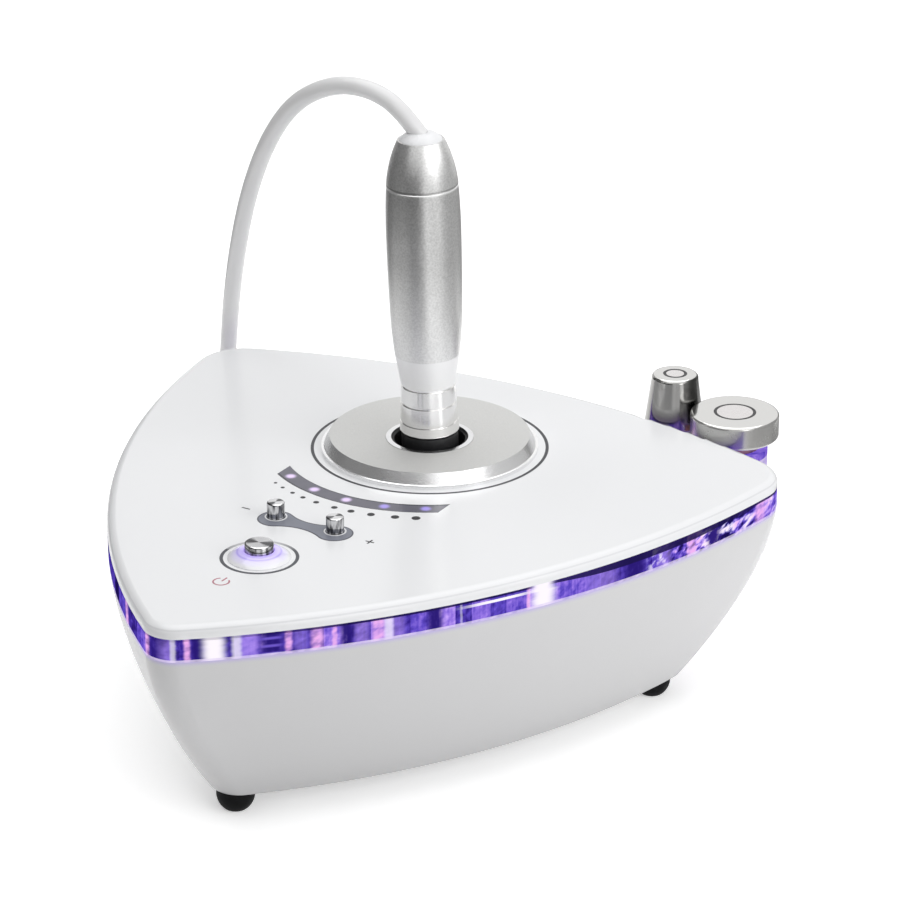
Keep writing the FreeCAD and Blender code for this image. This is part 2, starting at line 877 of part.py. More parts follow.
def led_places():
    """Five lights in the middle of the window, evenly spaced round the dish."""
    spots = []
    for step in range(-2, 3):
        angle = d.led_step_angle * step
        across = d.level_across + d.led_ring * angle.sine()
        spots.append((across, d.dish_back - d.led_ring * angle.cosine()))
    return tuple(spots)


def step_places():
    return ((d.panel_across - d.step_across, d.step_y), (d.panel_across + d.step_across, d.step_y))


def top_cover():
    """White lid with a rounded edge, hollow below, with panel posts and bosses for the case screws."""
    body = new_body("top_cover")
    outline = sketch_on(body, "cover_outline", height=rim_level)
    rounded_triangle(outline, ZERO, d.front_corner, d.rear_corner)
    pad(body, outline, d.cover_height)
    rounded(body, top_level, d.cover_edge_round, "cover_edge")
    hollow = sketch_on(body, "cover_hollow", height=rim_level)
    rounded_triangle(hollow, d.cover_rim, d.front_corner - d.cover_rim, d.rear_corner - d.cover_rim)
    pocket(body, hollow, ceiling_level - rim_level, reverse=True)

    bosses = with_radius(case_places(), d.boss_radius)
    raised(body, "cover_bosses", band_level, ceiling_level - band_level + d.overrun, bosses)
    posts = with_radius(panel_post_places(), d.panel_post_radius)
    raised(body, "cover_posts", board_level, ceiling_level - board_level + d.overrun, posts)
    thread = d.screw_radius + d.fit_gap
    grip = d.case_screw_length - d.case_grip + d.fit_gap
    drilled(body, "cover_threads", band_level, grip, with_radius(case_places(), thread), reverse=True)
    grip = d.screw_length - d.board_thickness + d.fit_gap
    drilled(body, "panel_threads", board_level, grip, with_radius(panel_post_places(), thread), reverse=True)

    spigot = inner_dish + d.spigot_wall + d.fit_gap
    halo = d.power_radius + d.slide_gap + d.halo_width + d.fit_gap
    collar = d.step_radius + d.slide_gap + d.collar_width + d.fit_gap
    rounds = ((ZERO, d.dish_back, spigot), (d.power_across, d.power_y, halo))
    rounds += with_radius(step_places(), collar)
    drilled(body, "cover_openings", top_level, d.cover_plate + d.overrun, rounds)
    window = sketch_on(body, "window_recess", height=top_level)
    closed_outline(window, window_corners(ZERO))
    pocket(body, window, d.window_depth)
    lights = with_radius(led_places(), d.led_radius + d.rest_gap)
    drilled(body, "light_holes", top_level - d.window_depth, d.cover_plate, lights)
    return node(place(body), "top_cover")


def rest_dish():
    """Turned dish, bevelled above a lip and sunk towards its well; its spigot goes through the cover."""
    spigot = inner_dish + d.spigot_wall
    seat = inner_dish + d.trim_width + d.fit_gap
    mouth = d.dish_height - d.dish_sink
    ledge = mouth - d.trim_depth
    body = turned("rest_dish", (
        (inner_dish, -d.spigot_length),
        (spigot, -d.spigot_length),
        (spigot, ZERO),
        (d.dish_radius, ZERO),
        (d.dish_radius, d.dish_edge),
        (d.dish_radius - d.dish_lip, d.dish_edge),
        (d.dish_flat_radius, d.dish_height),
        (seat, mouth),
        (seat, ledge),
        (inner_dish, ledge),
    ))
    node(place(body, y=d.dish_back, z=top_level), "rest_dish")

    ring = turned("dish_trim_ring", (
        (inner_dish, ledge),
        (inner_dish + d.trim_width, ledge),
        (inner_dish + d.trim_width, mouth + d.trim_rise),
        (inner_dish, mouth + d.trim_rise),
    ))
    node(place(ring, y=d.dish_back, z=top_level), "dish_trim_ring")

    under = -d.cover_plate
    nut = turned("dish_nut", (
        (spigot + d.fit_gap, under - d.nut_height),
        (d.nut_radius, under - d.nut_height),
        (d.nut_radius, under),
        (spigot + d.fit_gap, under),
    ))
    node(place(nut, y=d.dish_back, z=top_level), "dish_nut")


def well_bush():
    """Black liner of the well that the handpiece stands in."""
    floor = well_floor - top_level
    bottom = floor - d.bush_floor
    lip = d.bush_radius + d.bush_lip
    top = d.dish_height - d.dish_sink - d.bush_recess
    body = turned("well_bush", (
        (ZERO, bottom),
        (lip, bottom),
        (lip, -d.spigot_length),
        (d.bush_radius, -d.spigot_length),
        (d.bush_radius, top),
        (d.bush_mouth_radius, top),
        (d.bush_bore, top - d.mouth_depth),
        (d.bush_bore, floor),
        (ZERO, floor),
    ))
    return node(place(body, y=d.dish_back, z=top_level), "well_bush")


# Panel


def control_board():
    """Panel board that hangs under the cover, narrower towards the front corner."""
    body = new_body("control_board")
    outline = sketch_on(body, "board_outline", height=board_level - d.board_thickness)
    closed_outline(outline, (
        (-d.board_half_nose, d.board_front),
        (d.board_half_nose, d.board_front),
        (d.board_half_width, d.board_shoulder),
        (d.board_half_width, d.board_rear),
        (-d.board_half_width, d.board_rear),
        (-d.board_half_width, d.board_shoulder),
    ))
    pad(body, outline, d.board_thickness)
    clear = with_radius(panel_post_places(), d.screw_radius + d.fit_gap)
    boss = (case_places()[0] + (d.boss_radius + d.slide_gap,),)
    drilled(body, "board_holes", board_level, d.board_thickness, clear + boss)
    node(place(body), "control_board")

    under = board_level - d.board_thickness
    screw_group("panel_screws", d.screw_length, [(x, y, under) for x, y in panel_post_places()])


def tact_switches():
    """One press switch under each button."""
    made = []
    for index, (x, y) in enumerate(((d.power_across, d.power_y),) + step_places()):
        case = box(f"switch_case_{index}", d.switch_side, d.switch_side, d.switch_height, x, y, board_level)
        top = board_level + d.switch_height
        plunger = cylinder(f"plunger_{index}", d.plunger_radius, d.plunger_height, x, y, top)
        made.append(joined(f"switch_{index}", "MultiFuse", case, plunger))
    return node(joined("switch_group", "Compound", *made), "tact_switches")


def level_lights():
    """Grey window let into the cover, and the five lights behind it."""
    body = new_body("level_window")
    outline = sketch_on(body, "window_outline", height=top_level - d.window_depth)
    closed_outline(outline, window_corners(d.fit_gap))
    pad(body, outline, d.window_depth)
    node(place(body), "level_window")

    height = top_level - d.window_depth - d.rest_gap - board_level
    lights = [
        cylinder(f"level_led_{index}", d.led_radius, height, x, y, board_level)
        for index, (x, y) in enumerate(led_places())
    ]
    node(joined("level_led_group", "Compound", *lights), "level_leds")


def power_halo():
    """Domed translucent ring, bonded into the cover, that the power button stands in."""
    bore = d.power_radius + d.slide_gap
    sleeve = bore + d.halo_width
    base = d.cover_plate
    body = turned("power_halo", (
        (bore, -d.flange_thickness),
        (sleeve, -d.flange_thickness),
        (sleeve, base),
        (d.halo_radius, base),
        (d.halo_radius, base + d.halo_edge),
        (bore, base + d.halo_rise, d.halo_round, 1),
    ))
    return node(place(body, d.power_across, d.power_y, ceiling_level), "power_halo")


def collar(name):
    """Ring that guides a step button through the cover, with a flange under the ceiling."""
    bore = d.step_radius + d.slide_gap
    outer = bore + d.collar_width
    return turned(name, (
        (bore, -d.flange_thickness),
        (outer + d.collar_flange, -d.flange_thickness),
        (outer + d.collar_flange, ZERO),
        (outer, ZERO),
        (outer, d.cover_plate + d.collar_rise),
        (bore, d.cover_plate + d.collar_rise),
    ))


def button(name, radius, rise):
    """Metal cap with a rounded edge and a flange that keeps it under its guide ring."""
    flange_top = -d.flange_thickness - d.slide_gap
    flange_low = flange_top - d.button_flange_thickness
    top = d.cover_plate + rise
    return turned(name, (
        (ZERO, flange_low),
        (radius + d.button_flange, flange_low),
        (radius + d.button_flange, flange_top),
        (radius, flange_top),
        (radius, top - d.button_edge),
        (radius - d.button_edge, top, d.button_edge, 1),
        (ZERO, top),
    ))


def buttons():
    power_halo()
    power = button("power_button", d.power_radius, d.power_rise)
    node(place(power, d.power_across, d.power_y, ceiling_level), "power_button")

    collars = []
    for name, (x, y) in zip(("minus", "plus"), step_places()):
        collars.append(place(collar(f"{name}_collar"), x, y, ceiling_level))
        cap = button(f"{name}_button", d.step_radius, d.step_rise)
        node(place(cap, x, y, ceiling_level), f"{name}_button")
    node(joined("collar_group", "Compound", *collars), "button_collars")


# Inside the housing


def rf_board():
    """Main board on four posts, with the screws that hold it."""
    level = floor_level + d.post_height
    body = new_body("rf_board")
    outline = sketch_on(body, "rf_outline", height=level)
    half, deep = d.rf_board_length / 2, d.rf_board_width / 2
    closed_outline(outline, (
        (-half, d.rf_board_y - deep),
        (half, d.rf_board_y - deep),
        (half, d.rf_board_y + deep),
        (-half, d.rf_board_y + deep),
    ))
    pad(body, outline, d.board_thickness)
    top = level + d.board_thickness
    clear = with_radius(rf_post_places(), d.screw_radius + d.fit_gap)
    drilled(body, "rf_holes", top, d.board_thickness, clear)
    node(place(body), "rf_board")
    screw_group("board_screws", d.screw_length, [(x, y, top) for x, y in rf_post_places()], downwards=True)

    core = turned("rf_transformer", (
        (d.core_bore, ZERO),
        (d.core_radius, ZERO),
        (d.core_radius, d.core_height),
        (d.core_bore, d.core_height),
    ))
    node(place(core, d.core_across, d.core_y, top), "rf_transformer")
    heat_sink(top)


def heat_sink(level):
    """Finned block for the two output transistors, which stand against its front."""
    body = new_body("heat_sink")
    half, deep = d.sink_length / 2, d.sink_width / 2
    plate = sketch_on(body, "sink_plate")
    closed_outline(plate, ((-half, -deep), (half, -deep), (half, deep), (-half, deep)))
    pad(body, plate, d.sink_plate)
    fin = sketch_on(body, "sink_fin", height=d.sink_plate)
    left = d.sink_pitch * (1 - FIN_COUNT) / 2 - d.sink_fin / 2
    closed_outline(fin, ((left, -deep), (left + d.sink_fin, -deep), (left + d.sink_fin, deep), (left, deep)))
    first = pad(body, fin, d.sink_height - d.sink_plate)
    pattern = body.newObject("PartDesign::LinearPattern", "sink_fins")
    pattern.Originals = [first]
    pattern.Direction = (fin, ["H_Axis"])
    bind(pattern, "Length", d.sink_pitch * (FIN_COUNT - 1))
    pattern.Occurrences = FIN_COUNT
    body.Tip = pattern
    node(place(body, d.sink_across, d.sink_y, level), "heat_sink")

    front = d.sink_y - deep - d.transistor_thickness / 2
    made = []
    for index, side in enumerate((-1, 1)):
        x = d.sink_across + d.transistor_pitch / 2 * side
        size = (d.transistor_width, d.transistor_thickness, d.transistor_height)
        made.append(box(f"transistor_{index}", *size, x, front, level))
    node(joined("transistor_group", "Compound", *made), "rf_transistors")


def power_pieces():
    """Supply block on the housing floor and the mains inlet in the rear wall."""
    size = (d.supply_length, d.supply_width, d.supply_height)
    node(box("supply_block", *size, ZERO, d.supply_y, floor_level), "power_supply")

    x, face = d.inlet_across, inlet_face
    middle = d.inlet_plinth_level + d.inlet_plinth_height / 2
    case_size = (d.inlet_width, d.inlet_depth, d.inlet_height)
    case = box("inlet_case", *case_size, x, face - d.inlet_depth / 2, middle - d.inlet_height / 2)
    rim_high = d.inlet_height + d.inlet_rim * 2
    rim_size = (d.inlet_width + d.inlet_rim * 2, d.inlet_flange, rim_high)
    rim = box("inlet_rim", *rim_size, x, face + d.inlet_flange / 2, middle - rim_high / 2)
    front = face + d.inlet_flange
    well_y = front - d.inlet_well_depth / 2
    well_size = (d.inlet_well_width, d.inlet_well_depth, d.inlet_well_height)
    well = box("inlet_well", *well_size, x, well_y, middle - d.inlet_well_height / 2)
    shell = joined("inlet_shell", "Cut", joined("inlet_block", "MultiFuse", case, rim), well)
    root = front - d.inlet_well_depth - d.overrun
    pins = [
        cylinder(f"inlet_pin_{i}", d.inlet_pin_radius, d.inlet_pin_length + d.overrun,
                 x + d.inlet_pin_pitch / 2 * side, root, middle, TO_REAR)
        for i, side in enumerate((-1, 1))
    ]
    node(joined("inlet_whole", "MultiFuse", shell, *pins), "power_inlet")


def feet_and_case_screws():
    """Rubber feet held by recessed screws, and the long screws that close the case."""
    recess = d.screw_head_radius + d.slide_gap
    hole = d.screw_radius + d.fit_gap
    for name, (x, y) in zip(("foot_front", "foot_right", "foot_left"), foot_places()):
        foot = turned(name, (
            (recess, ZERO),
            (d.foot_flat, ZERO),
            (d.foot_radius, d.foot_height - d.foot_collar, d.foot_round, 1),
            (d.foot_radius, d.foot_height),
            (hole, d.foot_height),
            (hole, d.foot_recess),
            (recess, d.foot_recess),
        ))
        node(place(foot, x, y), name)
    screw_group("foot_screws", d.screw_length, [(x, y, d.foot_recess) for x, y in foot_places()])
    seat = band_level - d.case_grip
    screw_group("case_screws", d.case_screw_length, [(x, y, seat) for x, y in case_places()])


# Handpiece


def lean():
    """Rotation from upright to the way the handpiece leans in its well."""
    heading = math.radians(d.lean_heading.value)
    axis = FreeCAD.Vector(-math.sin(heading), math.cos(heading), 0)
    return FreeCAD.Rotation(axis, d.lean_angle.value)


def on_handpiece(thing, label):
    return node(place(thing, y=d.dish_back, z=nose_level, rotation=lean()), label)


def handpiece_nose():
    """Bright nose with three grooves below a tapered neck and a thread into the grip."""
    edge = d.nose_edge
    corners = [(d.nose_bore, ZERO), (d.nose_radius - edge, ZERO), (d.nose_radius, edge, edge, 1)]
    for share in GROOVE_SHARES:
        radius = d.nose_radius + (d.nose_waist - d.nose_radius) * share
        low = d.nose_waist_at * share - d.groove_width / 2
        high = low + d.groove_width
        bottom = radius - d.groove_depth
        corners += [(radius, low), (bottom, low), (bottom, high), (radius, high)]
    top = d.nose_length + d.thread_length
    corners += [(d.nose_neck, d.nose_length), (d.thread_radius, d.nose_length), (d.thread_radius, top)]
    corners += [(d.nose_bore, top)]
    return on_handpiece(turned("handpiece_nose", corners), "handpiece_nose")


def handpiece_barrel():
    """Satin grip, fullest towards its rear."""
    bore = d.thread_radius + d.fit_gap
    body = turned("handpiece_barrel", (
        (bore, d.nose_length),
        (d.nose_neck, d.nose_length),
        (d.grip_shoulder, d.grip_shoulder_at, d.shoulder_round, 1),
        (d.grip_radius, d.grip_widest_at, d.belly_round, 1),
        (d.grip_rear, d.grip_end_at - d.seam_edge, d.rear_round, 1),
        (d.grip_rear - d.seam_edge, d.grip_end_at),
        (bore, d.grip_end_at),
    ))
    return on_handpiece(body, "handpiece_barrel")


def handpiece_rear_cap():
    """Tapered cap screwed into the rear of the grip, open at the top for the cord collar."""
    seat = d.cap_top_at - d.collar_seat
    roof = d.cap_top_at - d.cap_roof
    low = d.grip_end_at - d.thread_length
    plug = d.collar_plug + d.fit_gap
    rim = d.collar_radius + d.fit_gap
    body = turned("handpiece_rear_cap", (
        (d.cap_bore, low),
        (d.thread_radius, low),
        (d.thread_radius, d.grip_end_at),
        (d.grip_rear - d.seam_edge, d.grip_end_at),
        (d.grip_rear, d.grip_end_at + d.seam_edge),
        (d.cap_top_radius, d.cap_top_at, d.cap_round, 1),
        (rim, d.cap_top_at),
        (rim, seat),
        (plug, seat),
        (plug, roof),
        (d.cap_bore, roof),
    ))
    return on_handpiece(body, "handpiece_rear_cap")


def handpiece_point(station):
    """A point of the handpiece's axis, in plan coordinates."""
    along = lean().multVec(FreeCAD.Vector(0, 0, station.value))
    return FreeCAD.Vector(0, d.dish_back.value, nose_level.value) + along


def cord_start():
    return handpiece_point(d.cap_top_at + d.collar_dome - d.exit_depth)


def cord_collar():
    """White dome in the top of the cap, bored where the cord comes out at a slant."""
    low = d.cap_top_at - d.collar_seat - d.collar_plug_length
    seat = d.cap_top_at - d.collar_seat
    top = d.cap_top_at + d.collar_dome
    dome = turned("collar_dome", (
        (ZERO, low),
        (d.collar_plug, low),
        (d.collar_plug, seat),
        (d.collar_radius, seat),
        (d.collar_radius, d.cap_top_at),
        (d.collar_top_radius, top, d.collar_round, 1),
        (ZERO, top),
    ))
    place(dome, y=d.dish_back, z=nose_level, rotation=lean())
    start = cord_start()
    heading = FreeCAD.Vector(*ARCH_ROUTE[0]) - start
    bore = document.addObject("Part::Cylinder", "collar_bore")
    bind(bore, "Radius", d.cord_radius + d.fit_gap)
    bind(bore, "Height", d.collar_radius * 2)
    spot = start + FreeCAD.Vector(0, plan_shift.value, 0)
    bore.Placement = FreeCAD.Placement(spot, FreeCAD.Rotation(FreeCAD.Vector(0, 0, 1), heading))
    return node(joined("collar_cut", "Cut", dome, bore), "cord_collar")


def handpiece_core():
    """Black insulator that stands in the well, the brass socket for a tip and the lead to the cord."""
    socket = d.socket_bore + d.socket_wall
    socket_low = d.socket_recess - d.insert_length
    socket_top = socket_low + d.socket_length
    spigot = d.nose_bore - d.fit_gap
    passage = d.lead_radius + d.slide_gap
    insulator = turned("nose_insulator", (
        (socket + d.fit_gap, -d.insert_length),
        (d.insert_radius - d.insert_edge, -d.insert_length),
        (d.insert_radius, d.insert_edge - d.insert_length),
        (d.insert_radius, ZERO),
        (spigot, ZERO),
        (spigot, d.insert_spigot),
        (passage, d.insert_spigot),
        (passage, socket_top),
        (socket + d.fit_gap, socket_top),
    ))
    on_handpiece(insulator, "nose_insulator")
    tube = turned("tip_socket", (
        (d.socket_bore, socket_low),
        (socket, socket_low),
        (socket, socket_top),
        (ZERO, socket_top),
        (ZERO, socket_top - d.socket_end),
        (d.socket_bore, socket_top - d.socket_end),
    ))
    on_handpiece(tube, "tip_socket")
    lead_top = d.cap_top_at - d.collar_seat - d.collar_plug_length
    lead = turned("handpiece_lead", (
        (ZERO, socket_top),
        (d.lead_radius, socket_top),
        (d.lead_radius, lead_top),
        (ZERO, lead_top),
    ))
    on_handpiece(lead, "handpiece_lead")


# Tips and their shelf


def tip_holder():
    """Clear shelf bonded to the rear of the band: two rounded lobes, each with a hole for a tip's stem."""
    across, along = disc_x - cone_x, disc_y - cone_y
    length = (across * across + along * along).root()
    ux, uy = across / length, along / length

    def corner(x, y, sideways, outwards):
        return x + ux * sideways - uy * outwards, y + uy * sideways + ux * outwards

    lobe = d.shelf_lobe
    body = new_body("tip_holder")
    outline = sketch_on(body, "shelf_outline", height=shelf_level - d.shelf_height)
    closed_outline(outline, (
        corner(cone_x, cone_y, -lobe, -d.shelf_root),
        corner(disc_x, disc_y, lobe, -d.shelf_root),
        corner(disc_x, disc_y, lobe, ZERO),
        corner(disc_x, disc_y, ZERO, lobe) + (lobe, 1),
        corner(cone_x, cone_y, ZERO, lobe),
        corner(cone_x, cone_y, -lobe, ZERO) + (lobe, 1),
    ))
    pad(body, outline, d.shelf_height)
    console = sketch_on(body, "shelf_root_cut", height=shelf_level)
    rounded_triangle(console, ZERO, d.front_corner, d.rear_corner)
    pocket(body, console, d.shelf_height)
    holes = with_radius(((cone_x, cone_y), (disc_x, disc_y)), d.stem_radius + d.rest_gap)
    drilled(body, "stem_holes", shelf_level, d.shelf_height, holes)
    return node(place(body), "tip_holder")


def tip(name, shell_corners, ring_radius, height, neck_radius, neck, x, y):
    """A treatment tip: outer electrode, insulating ring, centre electrode and plug-in stem with its neck."""
    level = shelf_level + d.rest_gap + neck
    outer = ring_radius - d.fit_gap
    inner = outer - d.ring_width
    stem_hole = d.stem_radius + d.fit_gap
    foot = -neck - d.stem_length
    pieces = {
        "shell": shell_corners,
        "insulator": (
            (stem_hole, ZERO),
            (outer, ZERO),
            (outer, height),
            (inner, height),
            (inner, d.tip_floor),
            (stem_hole, d.tip_floor),
        ),
        "centre": (
            (ZERO, d.tip_floor),
            (inner - d.fit_gap, d.tip_floor),
            (inner - d.fit_gap, height),
            (ZERO, height),
        ),
        "stem": (
            (ZERO, foot),
            (d.stem_radius, foot),
            (d.stem_radius, -neck),
            (neck_radius, -neck),
            (neck_radius, ZERO),
            (d.stem_radius, ZERO),
            (d.stem_radius, d.tip_floor),
            (ZERO, d.tip_floor),
        ),
    }
    for piece, corners in pieces.items():
        label = f"{name}_{piece}"
        node(place(turned(label, corners), x, y, level), label)


def tips():
    edge, wide, high = d.disc_round, d.disc_radius, d.disc_height
    disc = (
        (d.disc_ring_radius, ZERO),
        (wide - edge, ZERO),
        (wide, edge, edge, 1),
        (wide, high - edge),
        (wide - edge, high, edge, 1),
        (d.disc_ring_radius, high),
    )
    tip("disc_tip", disc, d.disc_ring_radius, high, d.disc_neck_radius, d.disc_neck, disc_x, disc_y)

    edge, wide, high = d.cone_round, d.cone_radius, d.cone_height
    cone = (
        (d.cone_ring_radius, ZERO),
        (d.cone_collar, ZERO),
        (d.cone_collar, d.cone_skirt),
        (wide - edge, d.cone_skirt),
        (wide, d.cone_skirt + edge, edge, 1),
        (d.cone_top_radius, high - edge),
        (d.cone_top_radius - edge, high, edge, 1),
        (d.cone_ring_radius, high),
    )
    tip("cone_tip", cone, d.cone_ring_radius, high, d.cone_neck_radius, d.cone_neck, cone_x, cone_y)


# Cord


def shifted(point):
    """A plan point of the cord's route in the part's own frame."""
    return FreeCAD.Vector(*point) + FreeCAD.Vector(0, plan_shift.value, 0)


def corner_arc(start, corner, end):
    """The arc from start to end that is tangent to the lines to their common corner."""
    middle = (start + end) / 2
    half = (end - start).Length / 2
    tangent = (corner - start).Length
    slope = math.acos(min(half / tangent, 1.0))
    sag = half * math.tan(slope / 2)
    return Part.Arc(start, middle + (corner - middle).normalize() * sag, end).toShape()


def rounded_path(name, points):
    """Straight runs joined by tangent arcs, each as large as its two runs allow."""
    edges = []
    here = points[0]
    radii = []
    for before, corner, after in zip(points, points[1:], points[2:]):
        into, out = corner - before, after - corner
        setback = ARC_SHARE * min(into.Length, out.Length)
        radii.append(setback / math.tan(into.getAngle(out) / 2))
        start = corner - into.normalize() * setback
        end = corner + out.normalize() * setback
        edges += [Part.LineSegment(here, start).toShape(), corner_arc(start, corner, end)]
        here = end
    edges.append(Part.LineSegment(here, points[-1]).toShape())
    print(name, "bend radii", [round(r, 1) for r in radii])
    return Part.Wire(edges)


def tube(label, path):
    """A round cord swept along a path, its volume compared with its section times its length."""
    radius = d.cord_radius.value
    first = path.Edges[0]
    start = first.valueAt(first.FirstParameter)
    section = Part.Wire(Part.Circle(start, first.tangentAt(first.FirstParameter), radius).toShape())
    made = document.addObject("Part::Feature", label)
    made.Shape = path.makePipeShell([section], True, False)
    expected = math.pi * radius**2 * path.Length
    if abs(made.Shape.Volume / expected - 1) > VOLUME_TOLERANCE_SHARE:
        raise RuntimeError(f"{label} has the wrong volume")
    made.Placement = FreeCAD.Placement()
    print(label, "length", round(path.Length, 1))
    return node(made, label)


def coil_state(turns):
    """Place and direction on the coil: spiral in, climb a layer in the half turn of reversal, spiral out."""
    radius, pitch = d.coil_radius.value, d.coil_pitch.value
    away = turns - COIL_TURNS / 2
    climb = CLIMB_TURNS / 2
    if abs(away) < climb:
        low = radius - pitch * (COIL_TURNS / 2 - climb)
        now = low - pitch * (climb * climb - away * away) / CLIMB_TURNS
        rate = pitch * 2 * away / CLIMB_TURNS
        share = away / CLIMB_TURNS + 0.5
    else:
        now = radius - pitch * (COIL_TURNS / 2 - abs(away))
        rate = math.copysign(pitch, away)
        share = 0.0 if away < 0 else 1.0
    angle = math.tau * (turns - 0.25)
    out = FreeCAD.Vector(math.cos(angle), math.sin(angle), 0)
    round_about = FreeCAD.Vector(-out.y, out.x, 0)
    level = d.coil_level.value + d.coil_layer.value * share * share * (3 - 2 * share)
    climb_rate = d.coil_layer.value * 6 * share * (1 - share) / CLIMB_TURNS
    centre = shifted((d.coil_across.value, d.coil_y.value, level))
    direction = out * rate + round_about * (now * math.tau) + FreeCAD.Vector(0, 0, climb_rate)
    return centre + out * now, direction.normalize()


def biarc(start, start_way, end, end_way):
    """Two arcs that join two points with the given directions."""
    span = end - start
    both = start_way + end_way
    spread = 2 * (1 - start_way.dot(end_way))
    reach = (math.sqrt(span.dot(both) ** 2 + spread * span.dot(span)) - span.dot(both)) / spread
    first, second = start + start_way * reach, end - end_way * reach
    middle = (first + second) / 2
    return [corner_arc(start, first, middle), corner_arc(middle, second, end)]


def coil_path():
    """The coil's centre line, with a straight end of one cord diameter before and after it."""
    count = round(COIL_TURNS * 4)
    states = [coil_state(COIL_TURNS * step / count) for step in range(count + 1)]
    flat_in, flat_out = FreeCAD.Vector(1, 0, 0), FreeCAD.Vector(0, -1, 0)
    states[0] = (states[0][0], flat_in)
    states[-1] = (states[-1][0], flat_out)
    diameter = d.cord_radius.value * 2
    start, end = states[0][0], states[-1][0]
    edges = [Part.LineSegment(start - flat_in * diameter, start).toShape()]
    for (here, way), (there, next_way) in zip(states, states[1:]):
        edges += biarc(here, way, there, next_way)
    edges.append(Part.LineSegment(end, end + flat_out * diameter).toShape())
    path = Part.Wire(edges)
    print("coil least gap to itself", round(least_gap(path, diameter), 2))
    return path


def least_gap(path, diameter):
    """Smallest clear distance between stretches of a cord that lie more than half a turn apart."""
    points = path.discretize(Distance=diameter / 2)
    skip = round(math.pi * d.coil_radius.value / diameter)
    best = min((p - q).Length for i, p in enumerate(points) for q in points[i + skip:])
    return best - diameter


def coil_tie():
    """Flat strap round the turns of the coil."""
    radius, gap, strap = d.cord_radius, d.tie_gap, d.tie_thickness
    inner = d.coil_radius - d.coil_pitch * (COIL_TURNS / 2 - CLIMB_TURNS / 4) - radius - gap
    outer = d.coil_radius + radius + gap
    low = d.coil_level - radius - gap
    high = d.coil_level + d.coil_layer + radius + gap
    body = new_body("coil_tie")
    sketch = sketch_on(body, "tie_section", "XZ_Plane", -d.tie_width / 2)
    loops = ((inner, outer, low, high), (inner - strap, outer + strap, low - strap, high + strap))
    for left, right, bottom, top in loops:
        closed_outline(sketch, ((left, bottom), (right, bottom), (right, top), (left, top)))
    pad(body, sketch, d.tie_width)
    turn = FreeCAD.Rotation(FreeCAD.Vector(0, 0, 1), TIE_ANGLE)
    return node(place(body, d.coil_across, d.coil_y, ZERO, turn), "coil_tie")


def cord():
    """Gland in the rear wall, and the cord from the handpiece through its coil to the gland."""
    gland = turned("cord_gland", (
        (ZERO, -d.gland_spigot_length),
        (d.gland_spigot, -d.gland_spigot_length),
        (d.gland_spigot, ZERO),
        (d.gland_radius, ZERO),
        (d.gland_radius, d.gland_flange),
        (d.gland_boot, d.gland_flange),
        (d.gland_end_radius, d.gland_length),
        (ZERO, d.gland_length),
    ))
    node(place(gland, gland_x, gland_face, d.gland_level, TO_REAR), "cord_gland")

    coil = coil_path()
    tail_start = coil.Edges[-1].valueAt(coil.Edges[-1].LastParameter)
    arch_end = coil.Edges[0].valueAt(coil.Edges[0].FirstParameter)
    arch = [shifted(cord_start())] + [shifted(p) for p in ARCH_ROUTE] + [arch_end]
    tube("cord_arch", rounded_path("cord_arch", arch))
    tube("cord_coil", coil)
    gland_end = shifted((gland_x.value, gland_face.value + d.gland_length.value, d.gland_level.value))
    tail = [tail_start] + [shifted(p) for p in TAIL_ROUTE] + [gland_end]
    tube("cord_tail", rounded_path("cord_tail", tail))
    coil_tie()


def write_pieces():
    """Checks every object and sub-part, then writes each sub-part to its own file."""
    document.recompute()
    failed = [o.Name for o in document.Objects if "Invalid" in o.State or "Error" in o.State]
    failed += [n.Label for n in nodes if n.Shape.isNull() or not n.Shape.isValid() or not n.Shape.Solids]
    if failed:
        raise RuntimeError(f"these failed: {failed}")
    os.makedirs("parts", exist_ok=True)
    for piece in nodes:
        piece.Shape.exportStep(f"parts/{piece.Label}.step")
    print(len(nodes), "sub-parts written")


base_housing()
light_band()
band_led_strip()
top_cover()
rest_dish()
well_bush()
control_board()
tact_switches()
level_lights()
buttons()
rf_board()
power_pieces()
feet_and_case_screws()
handpiece_nose()
handpiece_barrel()
handpiece_rear_cap()
cord_collar()
handpiece_core()
tip_holder()
tips()
cord()
write_pieces()
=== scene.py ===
"""The table-top radio-frequency facial device in a white studio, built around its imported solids."""

import json
import math

import bmesh
import bpy
from mathutils import Matrix, Vector


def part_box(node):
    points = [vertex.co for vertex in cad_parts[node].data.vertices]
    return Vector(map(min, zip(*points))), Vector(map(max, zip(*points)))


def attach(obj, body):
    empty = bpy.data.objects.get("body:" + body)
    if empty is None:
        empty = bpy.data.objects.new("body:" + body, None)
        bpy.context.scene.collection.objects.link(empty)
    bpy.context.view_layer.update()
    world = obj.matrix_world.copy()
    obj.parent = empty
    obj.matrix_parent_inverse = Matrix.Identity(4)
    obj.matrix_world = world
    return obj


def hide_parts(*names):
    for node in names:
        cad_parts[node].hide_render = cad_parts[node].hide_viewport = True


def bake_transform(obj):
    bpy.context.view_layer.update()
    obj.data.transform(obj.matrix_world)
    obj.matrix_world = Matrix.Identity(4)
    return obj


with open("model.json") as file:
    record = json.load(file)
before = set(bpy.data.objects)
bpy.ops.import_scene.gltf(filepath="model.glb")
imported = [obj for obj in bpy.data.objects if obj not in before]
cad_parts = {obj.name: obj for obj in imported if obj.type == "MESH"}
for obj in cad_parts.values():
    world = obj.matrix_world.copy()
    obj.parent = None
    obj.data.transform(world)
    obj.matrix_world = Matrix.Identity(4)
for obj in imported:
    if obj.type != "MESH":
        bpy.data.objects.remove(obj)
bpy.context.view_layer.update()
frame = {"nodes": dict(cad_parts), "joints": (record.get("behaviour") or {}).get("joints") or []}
nodes = frame["nodes"]
scene = bpy.context.scene


